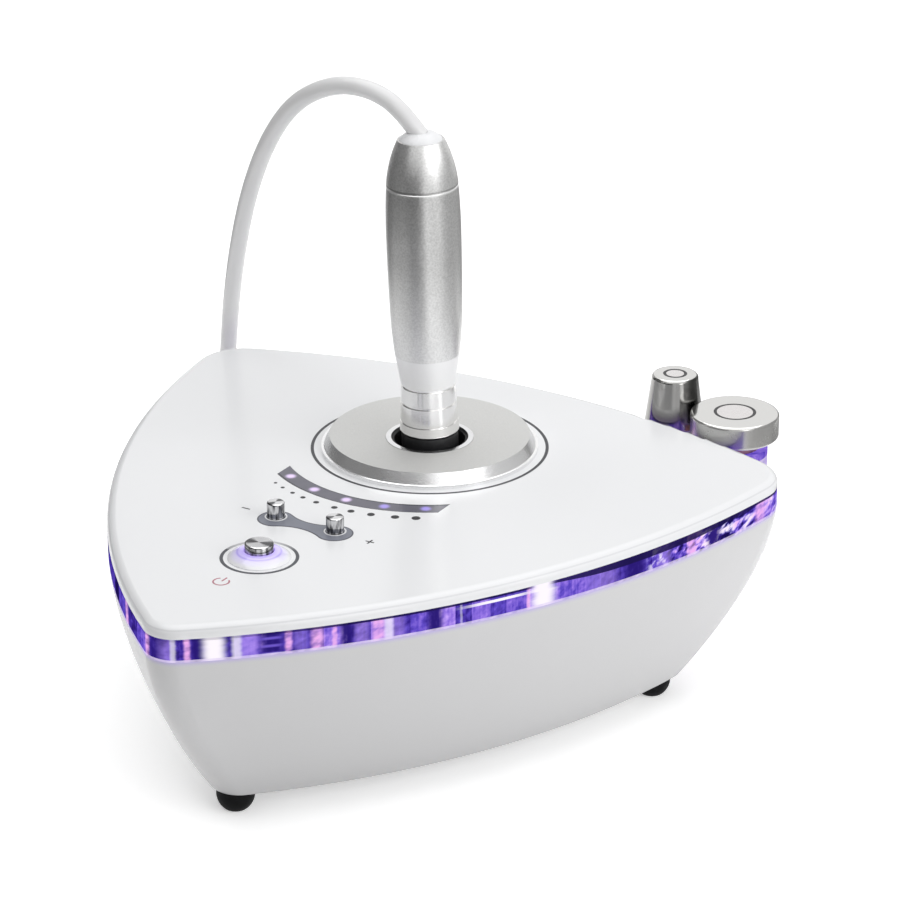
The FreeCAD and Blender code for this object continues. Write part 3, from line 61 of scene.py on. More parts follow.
# Studio: a white table under a white world, softboxes overhead and on both sides, and grey cards
# round the object, which give polished metal something to show. The camera stands where the
# photographer stood, with a long lens.


class Value:
    """One value of a node tree; arithmetic on it adds Math nodes."""

    def __init__(self, owner, link):
        self.owner = owner
        self.link = link

    def math(self, operation, *values):
        return self.owner.node("ShaderNodeMath", {"operation": operation}, dict(enumerate(values)))

    def __add__(self, other):
        return self.math("ADD", self, other)

    def __sub__(self, other):
        return self.math("SUBTRACT", self, other)

    def __rsub__(self, other):
        return self.math("SUBTRACT", other, self)

    def __mul__(self, other):
        return self.math("MULTIPLY", self, other)

    def __truediv__(self, other):
        return self.math("DIVIDE", self, other)

    def __pow__(self, other):
        return self.math("POWER", self, other)

    def __lt__(self, other):
        return self.math("LESS_THAN", self, other)

    def __gt__(self, other):
        return self.math("GREATER_THAN", self, other)

    def __abs__(self):
        return self.math("ABSOLUTE", self)

    __radd__ = __add__
    __rmul__ = __mul__

    def clamp(self, low=0.0, high=1.0):
        return self.math("MINIMUM", self.math("MAXIMUM", self, low), high)

    def sine(self):
        return self.math("SINE", self)

    def bell(self, power):
        """One at nought, falling away on both sides; a higher power gives a flatter top."""
        return self.math("EXPONENT", self ** power * -1.0)


class Shading:
    """A node tree, and the one way in which nodes are added to it."""

    def __init__(self, tree):
        self.tree = tree

    def feed(self, socket, value):
        if isinstance(value, Value):
            self.tree.links.new(value.link, socket)
        elif socket.type == "RGBA" and len(value) == 3:
            socket.default_value = (*value, 1.0)
        else:
            socket.default_value = value

    def node(self, kind, settings=None, sockets=None, output=0):
        made = self.tree.nodes.new(kind)
        for name, value in (settings or {}).items():
            if name == "stops":
                ramp = made.color_ramp.elements
                while len(ramp) < len(value):
                    ramp.new(1.0)
                for stop, (position, colour) in zip(ramp, value):
                    stop.position = position
                    stop.color = (*colour, 1.0)
            else:
                setattr(made, name, value)
        for key, value in (sockets or {}).items():
            self.feed(made.inputs[key], value)
        return Value(self, made.outputs[output])

    def shown(self):
        """One for what is seen directly, mirrored or through a clear piece, and nought for light."""
        rays = self.node("ShaderNodeLightPath").link.node.outputs
        kinds = "Is Camera Ray", "Is Glossy Ray", "Is Transmission Ray"
        return sum(Value(self, rays[kind]) for kind in kinds).clamp()


class Finish(Shading):
    """A material, and the nodes that make its colour and surface."""

    def __init__(self, name, **sockets):
        self.material = bpy.data.materials.new(name)
        self.material.use_nodes = True
        super().__init__(self.material.node_tree)
        self.shader = self.tree.nodes["Principled BSDF"]
        self.set(**sockets)

    def set(self, **sockets):
        for name, value in sockets.items():
            self.feed(self.shader.inputs[name.replace("_", " ")], value)
        return self

    def over(self, share, colour):
        """Lays a colour over the one that the surface has so far, by a share."""
        now = Value(self, self.shader.inputs["Base Color"].links[0].from_socket)
        return self.set(Base_Color=self.mixed(share, now, colour))

    def place(self):
        """The point of the surface, in metres."""
        return self.node("ShaderNodeTexCoord", output="Object")

    def axes(self):
        apart = self.node("ShaderNodeSeparateXYZ", sockets={0: self.place()}).link.node
        return [Value(self, output) for output in apart.outputs]

    def height(self):
        return self.axes()[2]

    def angle(self, spot):
        """The angle at which a point lies about an upright axis."""
        x, y, z = self.axes()
        return x.math("ARCTAN2", y - spot[1], x - spot[0])

    def away(self, spot):
        """How far a point lies from an upright axis."""
        x, y, z = self.axes()
        return ((x - spot[0]) ** 2.0 + (y - spot[1]) ** 2.0) ** 0.5

    def stretched(self, *scale):
        """The place with each axis stretched, for a pattern that runs along one of them."""
        return self.node("ShaderNodeMapping", sockets={"Vector": self.place(), "Scale": scale})

    def noise(self, scale, detail=2.0, where=None):
        sockets = {"Vector": where or self.place(), "Scale": scale, "Detail": detail}
        return self.node("ShaderNodeTexNoise", sockets=sockets)

    def mixed(self, share, first, second):
        settings = {"data_type": "RGBA"}
        return self.node("ShaderNodeMix", settings, {0: share, 6: first, 7: second}, output=2)

    def ramp(self, share, *stops):
        return self.node("ShaderNodeValToRGB", {"stops": stops}, {0: share})

    def bump(self, height, strength, distance):
        sockets = {"Height": height, "Strength": strength, "Distance": distance}
        return self.set(Normal=self.node("ShaderNodeBump", sockets=sockets))


def aimed(item, place, target, front="-Z"):
    """Puts a lamp, a card or the camera in its place, turned to a point."""
    item.location = place
    item.rotation_euler = (Vector(target) - Vector(place)).to_track_quat(front, "Y").to_euler()
    scene.collection.objects.link(item)


def plane(name, centre, facing, width, height):
    """A flat card that faces a point, for the studio."""
    data = bpy.data.meshes.new(name)
    bm = bmesh.new()
    bmesh.ops.create_grid(bm, x_segments=1, y_segments=1, size=0.5)
    bmesh.ops.scale(bm, vec=(width, height, 1), verts=bm.verts)
    bm.to_mesh(data)
    bm.free()
    card = bpy.data.objects.new(name, data)
    aimed(card, centre, facing, "Z")
    return card


TABLE_SIZE = 6.0
TABLE_WHITE = (0.96, 0.96, 0.96)
TABLE_GLOW = 0.42
table = plane("table", (0, 0, 0), (0, 0, 1), TABLE_SIZE, TABLE_SIZE)
table_white = Finish("table_white", Base_Color=TABLE_WHITE, Roughness=0.9, Specular_IOR_Level=0.0)
glow = table_white.mixed(table_white.shown(), (0, 0, 0), (TABLE_GLOW,) * 3)
table_white.set(Emission_Color=glow, Emission_Strength=1.0)
table.data.materials.append(table_white.material)

AMBIENT = 0.21
world = bpy.data.worlds.new("studio")
world.use_nodes = True
scene.world = world
sky = Shading(world.node_tree)
backdrop = sky.tree.nodes["Background"]
sky.feed(backdrop.inputs["Color"], (1, 1, 1))
sky.feed(backdrop.inputs["Strength"], sky.shown() * (1.0 - AMBIENT) + AMBIENT)


def softbox(name, place, target, width, height, power):
    """A rectangular studio lamp turned to a point of the object."""
    data = bpy.data.lights.new(name, "AREA")
    data.shape = "RECTANGLE"
    data.size = width
    data.size_y = height
    data.energy = power
    aimed(bpy.data.objects.new(name, data), place, target)


softbox("overhead_softbox", (-0.1, 0.15, 1.6), (0.0, 0.05, 0.0), 2.0, 2.0, 19.2)
softbox("left_softbox", (-0.95, 0.05, 0.95), (-0.08, 0.0, 0.08), 1.0, 0.6, 1.9)
softbox("right_softbox", (1.1, -0.1, 0.6), (0.0, 0.0, 0.06), 1.4, 0.7, 8.0)

VIEW_DEGREES = -59.52
CARD_MIDDLE = 0.038
CARD_FOOT = 0.03
TABLE_FOOT = 0.001


def studio_card(name, degrees, sweep, shade, ring, height, foot=CARD_FOOT):
    """An upright card that only reflections show, at an angle from the camera's side of the object."""
    turn = math.radians(VIEW_DEGREES + degrees)
    level = foot + height / 2
    spot = (ring * math.cos(turn), CARD_MIDDLE + ring * math.sin(turn), level)
    width = 2 * ring * math.tan(math.radians(sweep) / 2)
    card = plane(name, spot, (0, CARD_MIDDLE, level), width, height)
    paper = Finish(name, Base_Color=(0, 0, 0), Roughness=1.0, Specular_IOR_Level=0.0)
    card.data.materials.append(paper.set(Emission_Color=(shade,) * 3, Emission_Strength=1.0).material)
    for kind in ("camera", "diffuse", "shadow", "transmission", "volume_scatter"):
        setattr(card, f"visible_{kind}", False)


studio_card("card_far_left", -125.0, 50.0, 0.17, 0.27, 0.46)
studio_card("card_left", -76.0, 48.0, 0.21, 0.27, 0.46)
studio_card("card_left_of_camera", -25.0, 54.0, 0.14, 0.25, 0.21)
studio_card("strip_right_of_camera", 32.0, 22.0, 0.85, 0.25, 0.21)
studio_card("card_right", 88.0, 70.0, 0.50, 0.27, 0.23)
studio_card("card_far_right", 146.0, 44.0, 0.38, 0.27, 0.10)
studio_card("card_low_right", 76.0, 66.0, 0.60, 0.22, 0.055, TABLE_FOOT)
studio_card("card_low_rear", 119.0, 34.0, 0.40, 0.21, 0.045, TABLE_FOOT)

LENS = 143.4
SENSOR = 36.0
CAMERA_SPOT = (0.58877, -0.94807, 0.57290)
CAMERA_AIM = (0.01738, 0.02266, 0.09108)
camera_data = bpy.data.cameras.new("photograph")
camera_data.lens = LENS
camera_data.sensor_width = SENSOR
camera = bpy.data.objects.new("photograph", camera_data)
aimed(camera, CAMERA_SPOT, CAMERA_AIM)
scene.camera = camera
scene.view_settings.view_transform = "Standard"


# Base housing: a glossy white bowl, injection moulded in one piece, that narrows towards the feet.
# Its skin has the faint waviness of a large moulding. Its white is set darker than the cover's as
# painted shade, and a violet glow is painted along its upper edge for the band's light.


def dress(finish, *names):
    """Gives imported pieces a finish."""
    for name in names:
        for holder in nodes[name].material_slots:
            holder.material = finish.material


def toned(colour, share):
    """A colour made darker or lighter."""
    return [channel * share for channel in colour]


def white_moulding(name, colour, roughness):
    """Glossy white plastic: an even colour, with slight waves and rubbed patches in its gloss."""
    finish = Finish(name, Coat_Weight=0.1, Coat_Roughness=0.08, IOR=1.45)
    finish.set(Base_Color=finish.mixed(finish.noise(18.0), colour, toned(colour, 0.97)))
    finish.set(Roughness=finish.noise(45.0, 4.0) * 0.06 + roughness)
    return finish.bump(finish.noise(240.0, 1.0), 0.03, 0.0004)


# Painted shade: the housing's white is set darker than the cover's white, for its less lit sides.
SHADED_CASE_WHITE = (0.645, 0.645, 0.652)
CASE_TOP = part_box("base_housing")[1].z
# Painted light: a violet glow in the colour along the housing's upper edge, for the band's light
# falling on it.
PAINTED_GLOW_DEPTH = 0.0022
PAINTED_GLOW_SHARE = 0.7
PAINTED_GLOW_VIOLET = (0.50, 0.40, 0.86)
white_case = white_moulding("white_case", SHADED_CASE_WHITE, 0.22)
painted_glow = ((white_case.height() - CASE_TOP + PAINTED_GLOW_DEPTH) / PAINTED_GLOW_DEPTH).clamp() ** 2.0 * PAINTED_GLOW_SHARE
dress(white_case.over(painted_glow, PAINTED_GLOW_VIOLET), "base_housing")


# Feet: three domes of black rubber under the corners of the housing, each held by a zinc-plated
# screw in a recess. Screws of the same kind close the case and hold the boards.


def black_rubber(name, roughness):
    """Moulded rubber, almost black, with a fine grain."""
    finish = Finish(name, IOR=1.5, Specular_IOR_Level=0.1)
    grain = finish.noise(900.0, 3.0)
    finish.set(Base_Color=finish.mixed(grain, (0.003, 0.003, 0.0035), (0.007, 0.007, 0.008)))
    finish.set(Roughness=grain * 0.15 + roughness)
    return finish.bump(grain, 0.15, 0.0002)


dress(black_rubber("foot_rubber", 0.5), "foot_front", "foot_left", "foot_right")


def plain_metal(name, colour, roughness, grain_scale=700.0, strength=0.05):
    """Machined metal with a fine grain in its gloss."""
    finish = Finish(name, Metallic=1.0)
    grain = finish.noise(grain_scale, 3.0)
    finish.set(Base_Color=finish.mixed(grain, colour, toned(colour, 0.88)))
    finish.set(Roughness=grain * 0.12 + roughness)
    return finish.bump(grain, strength, 0.0001)


zinc = plain_metal("zinc", (0.62, 0.62, 0.63), 0.28)
dress(zinc, "foot_screws", "case_screws", "board_screws", "panel_screws")


# Inside: two boards, the supply, the output stage and the light strip. They are closed in by the
# case, and carry the plain finishes of electrical parts.


def board_green(name):
    """Green solder mask over the blocks of a board's tracks."""
    finish = Finish(name, Roughness=0.35, Coat_Weight=0.4)
    sockets = {"Vector": finish.place(), "Scale": 220.0}
    tracks = finish.node("ShaderNodeTexVoronoi", {"distance": "MANHATTAN"}, sockets)
    greens = (0.0, (0.03, 0.16, 0.08)), (0.5, (0.02, 0.11, 0.06)), (1.0, (0.04, 0.2, 0.1))
    return finish.set(Base_Color=finish.ramp(tracks, *greens))


dress(board_green("solder_mask"), "rf_board", "control_board")


def matte_black(name, roughness=0.45):
    """Black moulded plastic with a dull, slightly grainy skin."""
    finish = Finish(name)
    grain = finish.noise(600.0)
    finish.set(Base_Color=finish.mixed(grain, (0.014, 0.014, 0.015), (0.026, 0.026, 0.028)))
    finish.set(Roughness=grain * 0.1 + roughness)
    return finish.bump(grain, 0.1, 0.0002)


moulded_black = matte_black("moulded_black")
dress(moulded_black, "tact_switches", "rf_transistors", "power_supply", "dish_nut", "power_inlet")
dress(plain_metal("extruded_aluminium", (0.66, 0.66, 0.67), 0.35), "heat_sink")
dress(matte_black("ferrite", 0.6), "rf_transformer")
strip_white = Finish("strip_white", Roughness=0.5)
lamps = (strip_white.noise(260.0) * 6.0 - 3.0).clamp()
strip_white.set(Base_Color=strip_white.mixed(lamps, (0.78, 0.78, 0.82), (0.60, 0.48, 0.84)))
dress(strip_white, "band_led_strip")


# Light band: a clear acrylic ring, clamped between housing and cover. Violet lights behind it are
# broken up by its polished faces into blocks, streaks, shards and a few glaring spots. A painted
# shadow darkens its top under the cover, and a painted highlight line runs below it on one stretch.
# Each row below gives an angle and a width in degrees, and some a strength and a raggedness too.

BAND_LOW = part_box("light_band")[0].z
BAND_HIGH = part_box("light_band")[1].z
PLAN_MIDDLE = 0.01018
GLARE = (
    (-88.0, 0.35, 0.5), (-83.4, 1.25, 1.0), (-80.7, 0.6, 0.6), (-58.4, 0.8, 0.6), (-44.6, 0.25, 0.3),
    (-26.4, 2.6, 1.0, 0.035), (58.0, 1.6, 0.6), (90.0, 2.0, 1.0), (122.0, 1.5, 0.5), (147.0, 1.6, 1.0),
    (-155.0, 2.0, 0.9),
)
SPARK = (0.8, 2.0, 0.8), (12.0, 1.2, 0.8), (17.0, 1.8, 0.8), (21.5, 1.4, 0.7), (28.0, 1.5, 0.6)
PINK = (
    (-101.0, 0.8), (-92.0, 0.5), (-86.4, 0.35), (-74.0, 0.5), (-69.9, 0.9), (-67.3, 0.4), (-60.2, 1.0),
    (-29.9, 0.4), (8.8, 1.0), (24.4, 1.0), (76.0, 1.6), (170.0, 1.8),
)
NAVY = (
    (-90.4, 1.3, 0.6), (-85.3, 0.7), (-76.3, 1.6), (-65.4, 1.0), (-49.9, 1.5), (-4.6, 2.6), (14.0, 1.6),
    (108.0, 1.6), (-170.0, 1.6),
)
PALE = (
    (-89.0, 1.2, 0.7), (-79.2, 1.1, 0.9), (-72.3, 1.0, 0.5), (-63.0, 1.2, 0.8), (-57.0, 1.4, 0.7),
    (-12.5, 3.6, 0.7), (2.5, 1.5, 0.8), (140.0, 3.0, 0.5),
)
VIOLETS = (
    (0.0, (0.008, 0.003, 0.07)), (0.22, (0.040, 0.018, 0.28)), (0.46, (0.12, 0.07, 0.57)),
    (0.66, (0.29, 0.17, 0.76)), (0.82, (0.52, 0.34, 0.93)), (1.0, (0.86, 0.50, 0.93)),
)
BLOCKS_PER_RADIAN = 15.0
STREAKS_PER_RADIAN = 110.0
SHARDS_PER_RADIAN = 34.0
BAR_WAVES = 19.0
FAR_LEFT = (-122.0, 27.0, 0.42)
BROKEN_AT = math.radians(14.0)
BARRED = (-76.3, 1.5)
# Painted highlight: a white line in the glow, below the painted shadow, on one stretch of the band.
PAINTED_HIGHLIGHT_LINE = (-36.5, 7.0)
# Painted shadow: the top of the band is darkened where the cover's rim shades it; the next rows make it
# wider, open or faint at some angles.
GAP_SHADOW_FROM = 0.9
GAP_SHADOW_WIDER = (-1.0, 19.0, 0.22)
GAP_SHADOW_OPEN = (-26.7, 2.6)
GAP_SHADOW_FAINT = (-98.0, 24.0, 0.75)
PALE_FOOT = 0.1


def lit_acrylic(name, strength, paleness):
    """Clear acrylic with violet light broken up in it; a paleness lifts all its colours."""
    finish = Finish(name, Roughness=0.25, Specular_IOR_Level=0.0, Emission_Strength=strength)
    turn = finish.angle((0.0, PLAN_MIDDLE))
    rise = (finish.height() - BAND_LOW) / (BAND_HIGH - BAND_LOW)
    sockets = {"W": turn * BLOCKS_PER_RADIAN, "Scale": 1.0}
    cells = finish.node("ShaderNodeTexVoronoi", {"voronoi_dimensions": "1D"}, sockets, output="Color")
    block = finish.node("ShaderNodeSeparateColor", sockets={0: cells})
    sockets = {"W": turn * STREAKS_PER_RADIAN, "Scale": 1.0, "Detail": 3.0}
    streaks = finish.node("ShaderNodeTexNoise", {"noise_dimensions": "1D"}, sockets)
    sockets = {0: turn * SHARDS_PER_RADIAN - rise * 1.6, 1: rise * 3.0}
    shards = finish.noise(1.0, where=finish.node("ShaderNodeCombineXYZ", sockets=sockets))
    ragged = finish.noise(1.0, 1.0, finish.stretched(30.0, 30.0, 700.0)) - 0.5
    mottle = finish.noise(1.0, 3.0, finish.stretched(600.0, 600.0, 420.0))

    def patch(degrees, width, power=1.0, tear=0.005):
        """A share that is full within a width of an angle, with more or less ragged edges."""
        reach = abs(turn - math.radians(degrees) + ragged * tear) / math.radians(width)
        return reach.bell(4.0) * power

    def patches(rows):
        return sum(patch(*row) for row in rows).clamp()

    broken = (1.3 - abs(turn - BROKEN_AT) * 4.5).clamp()
    tone = block * 0.5 + streaks * 0.25 + shards * 0.5 + mottle * 0.5 - 0.35 + paleness
    tone = tone + broken * (shards - 0.5) * 4.0 - patch(*FAR_LEFT)
    colour = finish.ramp(tone.clamp(), *VIOLETS)
    colour = finish.mixed(patches(PALE) * (shards + 0.2).clamp(), colour, (0.40, 0.26, 0.85))
    colour = finish.mixed(patches(PINK) * (shards * 2.4 - 0.5).clamp(), colour, (0.88, 0.46, 0.88))
    bars = (rise * BAR_WAVES).sine().clamp() * patch(*BARRED)
    shaded = finish.mixed(bars, (0.020, 0.008, 0.17), (0.16, 0.10, 0.60))
    colour = finish.mixed(patches(NAVY) * (1.25 - mottle * 0.5).clamp(), colour, shaded)
    # The painted highlight line.
    line = patch(*PAINTED_HIGHLIGHT_LINE) * (rise > 0.70) * (rise < 0.82)
    spark = patches(SPARK) * (shards * 7.0 - 3.4).clamp()
    lit = finish.mixed((patches(GLARE) + line + spark).clamp(), colour, (1.0, 0.95, 1.0))
    # Painted shadow along the top of the band, under the cover.
    painted_gap_shadow = (rise > GAP_SHADOW_FROM - patch(*GAP_SHADOW_WIDER)) * (0.95 - patch(*GAP_SHADOW_OPEN)) * (1.0 - patch(*GAP_SHADOW_FAINT))
    lit = finish.mixed(painted_gap_shadow.clamp(), lit, (0.010, 0.006, 0.06))
    pale = ((rise < PALE_FOOT) * (shards + 0.2)).clamp()
    finish.set(Emission_Color=finish.mixed(pale, lit, (0.78, 0.68, 0.92)))
    return finish.set(Base_Color=finish.mixed(block, (0.003, 0.002, 0.012), (0.012, 0.008, 0.03)))


dress(lit_acrylic("lit_band", 1.0, 0.0), "light_band")


# Top cover: a glossy white lid with a rounded rim. Its marks are screen printed: a ring round the
# dish, a row of growing dots, the plate round the step buttons, their signs and the power ring.

COVER_WHITE = (0.855, 0.861, 0.875)
COVER_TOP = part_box("top_cover")[1].z
# Painted shade: a faint grey line just below the cover's top, where the flat top turns into the rounded
# rim.
RIM_SHADE_DROP = 0.0012
RIM_SHADE_WIDTH = 0.00022
RIM_SHADE_SHARE = 0.3
RIM_SHADE_GREY = (0.52, 0.52, 0.55)
white_cover = white_moulding("white_cover", COVER_WHITE, 0.2)
painted_line = abs(white_cover.height() - (COVER_TOP - RIM_SHADE_DROP)) < RIM_SHADE_WIDTH
dress(white_cover.over(painted_line * RIM_SHADE_SHARE, RIM_SHADE_GREY), "top_cover")

INK_LOW = COVER_TOP - 0.00002
INK_HIGH = COVER_TOP + 0.00004
INK_DEPTH = INK_HIGH - INK_LOW


def plan_middle(name):
    """The middle of a piece, seen from above."""
    low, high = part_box(name)
    return Vector(((low.x + high.x) / 2, (low.y + high.y) / 2, 0))


DISH_SPOT = plan_middle("rest_dish")


def before_dish(angle, ring):
    """A point on a ring round the dish, at an angle from the middle line of its front."""
    return DISH_SPOT + Vector((math.sin(angle), -math.cos(angle), 0)) * ring


def finished_piece(name, bm, finish, body):
    """Turns a bmesh into a piece that rides on a body."""
    bmesh.ops.remove_doubles(bm, verts=bm.verts, dist=1e-7)
    bmesh.ops.recalc_face_normals(bm, faces=bm.faces)
    data = bpy.data.meshes.new(name)
    bm.to_mesh(data)
    bm.free()
    data.materials.append(finish.material)
    piece = bpy.data.objects.new(name, data)
    scene.collection.objects.link(piece)
    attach(piece, body)


def outline(bm, points):
    """Vertices at the given points, joined by edges into a closed outline."""
    made = [bm.verts.new(p) for p in points]
    return made, [bm.edges.new(pair) for pair in zip(made, made[1:] + made[:1])]


def raised_ink(bm, edges):
    """Fills a closed outline at the ink's lower level and lifts a copy of it to the upper one."""
    faces = bmesh.ops.contextual_create(bm, geom=edges)["faces"]
    grown = bmesh.ops.extrude_face_region(bm, geom=faces)["geom"]
    lifted = [g for g in grown if isinstance(g, bmesh.types.BMVert)]
    bmesh.ops.translate(bm, verts=lifted, vec=(0, 0, INK_DEPTH))


def ink_ring(bm, centre, radius, width, start=0.0, sweep=math.tau, steps=144):
    """A printed ring, or a part of one, as a thin turned strip."""
    inner, outer = radius - width / 2, radius + width / 2
    section = (inner, INK_LOW), (outer, INK_LOW), (outer, INK_HIGH), (inner, INK_HIGH)
    points = [centre + Vector((r * math.cos(start), r * math.sin(start), z)) for r, z in section]
    verts, edges = outline(bm, points)
    full = sweep >= math.tau
    if not full:
        bm.faces.new(verts)
    made = bmesh.ops.spin(
        bm, geom=verts + edges, cent=centre, axis=(0, 0, 1), angle=sweep, steps=steps, use_merge=full
    )
    if not full:
        bm.faces.new([g for g in made["geom_last"] if isinstance(g, bmesh.types.BMVert)])


def ink(name, colour):
    """Screen-printing ink, slightly uneven in its cover."""
    finish = Finish(name, Roughness=0.4, Specular_IOR_Level=0.3)
    return finish.set(Base_Color=finish.mixed(finish.noise(300.0), colour, toned(colour, 1.12)))


RING_GREY = ink("ring_ink", (0.045, 0.045, 0.052))
PLATE_GREY = ink("plate_ink", (0.20, 0.21, 0.25))
BORDER_GREY = ink("border_ink", (0.085, 0.088, 0.11))
DOT_BLACK = ink("dot_ink", (0.015, 0.015, 0.018))
SIGN_RED = ink("sign_ink", (0.42, 0.16, 0.20))

DISH_RING = 0.0409
DISH_RING_WIDTH = 0.0011
bm = bmesh.new()
ink_ring(bm, DISH_SPOT, DISH_RING, DISH_RING_WIDTH)
finished_piece("dish_ring_print", bm, RING_GREY, "console")

DOT_RING = 0.0612
DOT_DEGREES = (-28.2, -23.8, -18.5, -13.5, -7.8, -0.7, 5.3, 12.1, 19.9, 26.5)
DOT_SMALLEST = 0.0006
DOT_GROWTH = 0.0009
bm = bmesh.new()
for index, degrees in enumerate(DOT_DEGREES):
    spot = before_dish(math.radians(degrees), DOT_RING)
    spot.z = (INK_LOW + INK_HIGH) / 2
    size = DOT_SMALLEST + DOT_GROWTH * index / (len(DOT_DEGREES) - 1)
    bmesh.ops.create_cone(
        bm, cap_ends=True, segments=32, radius1=size, radius2=size, depth=INK_DEPTH,
        matrix=Matrix.Translation(spot),
    )
finished_piece("level_dots_print", bm, DOT_BLACK, "console")

minus_spot, plus_spot, power_spot = (plan_middle(f"{n}_button") for n in ("minus", "plus", "power"))

PLATE_END = 0.0062
PLATE_WAIST = 0.0058
PLATE_BORDER = 0.0005
PLATE_SHIFT = Vector((0.0007, -0.0013, 0))
PLATE_LIFT = 0.00003
plate_middle = (minus_spot + plus_spot) / 2 + PLATE_SHIFT
half_span = (plus_spot.x - minus_spot.x) / 2


def waisted_plate(name, finish, inset, low):
    """Two round ends joined by hollow sides, drawn in from the plate's edge by an inset."""
    end = PLATE_END - inset
    half_waist = PLATE_WAIST / 2 - inset
    hollow = (half_span ** 2 + half_waist ** 2 - end ** 2) / (2 * (end - half_waist))
    lean = math.atan2(half_span, half_waist + hollow)
    middle = Vector((plate_middle.x, plate_middle.y, low))
    across, along = Vector((half_span, 0, 0)), Vector((0, half_waist + hollow, 0))
    arcs = (
        (middle + across, math.pi / 2 + lean, -math.pi - 2 * lean, end),
        (middle - along, math.pi / 2 - lean, 2 * lean, hollow),
        (middle - across, -math.pi / 2 + lean, -math.pi - 2 * lean, end),
        (middle + along, -math.pi / 2 - lean, 2 * lean, hollow),
    )
    bm = bmesh.new()
    for centre, start, sweep, radius in arcs:
        first = bm.verts.new(centre + Vector((math.cos(start), math.sin(start), 0)) * radius)
        bmesh.ops.spin(bm, geom=[first], cent=centre, axis=(0, 0, 1), angle=sweep, steps=40)
    bmesh.ops.remove_doubles(bm, verts=bm.verts, dist=1e-6)
    raised_ink(bm, list(bm.edges))
    finished_piece(name, bm, finish, "console")


waisted_plate("step_border_print", BORDER_GREY, 0.0, INK_LOW)
waisted_plate("step_plate_print", PLATE_GREY, PLATE_BORDER, INK_LOW + PLATE_LIFT)


def cross_outline(centre, arm, half):
    """Corners of a plus sign."""
    turn = [(half, arm), (-half, arm), (-half, half)]
    corners = []
    for quarter in range(4):
        spin = Matrix.Rotation(quarter * math.pi / 2, 3, "Z")
        corners += [centre + spin @ Vector((x, y, 0)) for x, y in turn]
    return corners


def bar_outline(centre, half, low, high):
    """Corners of a bar that reaches to both sides of a point, and from a lower to an upper edge."""
    corners = (-half, low), (half, low), (half, high), (-half, high)
    return [centre + Vector((x, y, 0)) for x, y in corners]


PLUS_SIGN = Vector((0.0240, -0.0404, INK_LOW))
MINUS_SIGN = Vector((-0.0259, -0.0385, INK_LOW))
SIGN_ARM = 0.0016
SIGN_HALF = 0.00028
bm = bmesh.new()
raised_ink(bm, outline(bm, cross_outline(PLUS_SIGN, SIGN_ARM, SIGN_HALF))[1])
raised_ink(bm, outline(bm, bar_outline(MINUS_SIGN, SIGN_ARM, -SIGN_HALF, SIGN_HALF))[1])
finished_piece("step_signs_print", bm, DOT_BLACK, "console")

POWER_RING = 0.0124
POWER_RING_WIDTH = 0.00115
# Painted highlight: the ring turns lighter towards its back, for the glare that lies over it there.
PAINTED_GLARE_AT = math.radians(126.0)
painted_glare_ink = Finish("painted_glare_ink", Roughness=0.4, Specular_IOR_Level=0.3)
painted_glare = 1.4 - abs(painted_glare_ink.angle(power_spot) - PAINTED_GLARE_AT) * 1.15
painted_glare = (painted_glare + painted_glare_ink.noise(300.0) * 0.1).clamp(0.0, 0.75)
painted_glare_ink.set(Base_Color=painted_glare_ink.mixed(painted_glare, (0.075, 0.078, 0.09), (0.62, 0.62, 0.64)))
bm = bmesh.new()
ink_ring(bm, power_spot, POWER_RING, POWER_RING_WIDTH)
finished_piece("power_ring_print", bm, painted_glare_ink, "console")

SYMBOL_SPOT = Vector((-0.0010, -0.0905, 0))
SYMBOL_RADIUS = 0.0026
SYMBOL_LINE = 0.00055
SYMBOL_GAP = math.radians(38.0)
BAR_FROM = SYMBOL_RADIUS * 0.15
BAR_TO = SYMBOL_RADIUS * 1.3
bm = bmesh.new()
ink_ring(
    bm, SYMBOL_SPOT, SYMBOL_RADIUS, SYMBOL_LINE, math.pi / 2 + SYMBOL_GAP, math.tau - 2 * SYMBOL_GAP, 60
)
bar_spot = SYMBOL_SPOT + Vector((0, 0, INK_LOW))
raised_ink(bm, outline(bm, bar_outline(bar_spot, SYMBOL_LINE / 2, BAR_FROM, BAR_TO))[1])
finished_piece("power_sign_print", bm, SIGN_RED, "console")


# Level window: an arc of smoked plastic let into the cover from above, with a darker edge. Five
# small lights on the board behind it show how high the output is set.

LEVEL_RING = 0.0537
LEVEL_STEP = math.radians(15.0)
LEVEL_LIGHT = 0.0017
LEVEL_ACROSS = -0.0007
WINDOW_INNER = 0.0505
WINDOW_OUTER = 0.0570
WINDOW_EDGE = 0.0005
PALE_LILAC = (0.72, 0.55, 0.87)
DEEP_VIOLET = (0.27, 0.20, 0.68)
LEVEL_COLOURS = PALE_LILAC, PALE_LILAC, PALE_LILAC, DEEP_VIOLET, DEEP_VIOLET
window = Finish("smoked_window", Roughness=0.18, Specular_IOR_Level=0.35, Emission_Strength=1.0)
glow = (0.0, 0.0, 0.0)
for step, colour in enumerate(LEVEL_COLOURS):
    spot = before_dish((step - len(LEVEL_COLOURS) // 2) * LEVEL_STEP, LEVEL_RING)
    spot.x += LEVEL_ACROSS
    spot.z = COVER_TOP
    sockets = {0: window.place(), 1: spot}
    away = window.node("ShaderNodeVectorMath", {"operation": "DISTANCE"}, sockets, output="Value")
    glow = window.mixed((away / LEVEL_LIGHT).bell(4.0), glow, colour)
tinted = window.mixed(window.noise(160.0, 3.0), (0.098, 0.096, 0.125), (0.15, 0.148, 0.185))
off_middle = abs(window.away(DISH_SPOT) - (WINDOW_INNER + WINDOW_OUTER) / 2)
edge = off_middle > (WINDOW_OUTER - WINDOW_INNER) / 2 - WINDOW_EDGE
window.set(Base_Color=window.mixed(edge, tinted, (0.045, 0.045, 0.06)), Emission_Color=glow)
dress(window, "level_window")
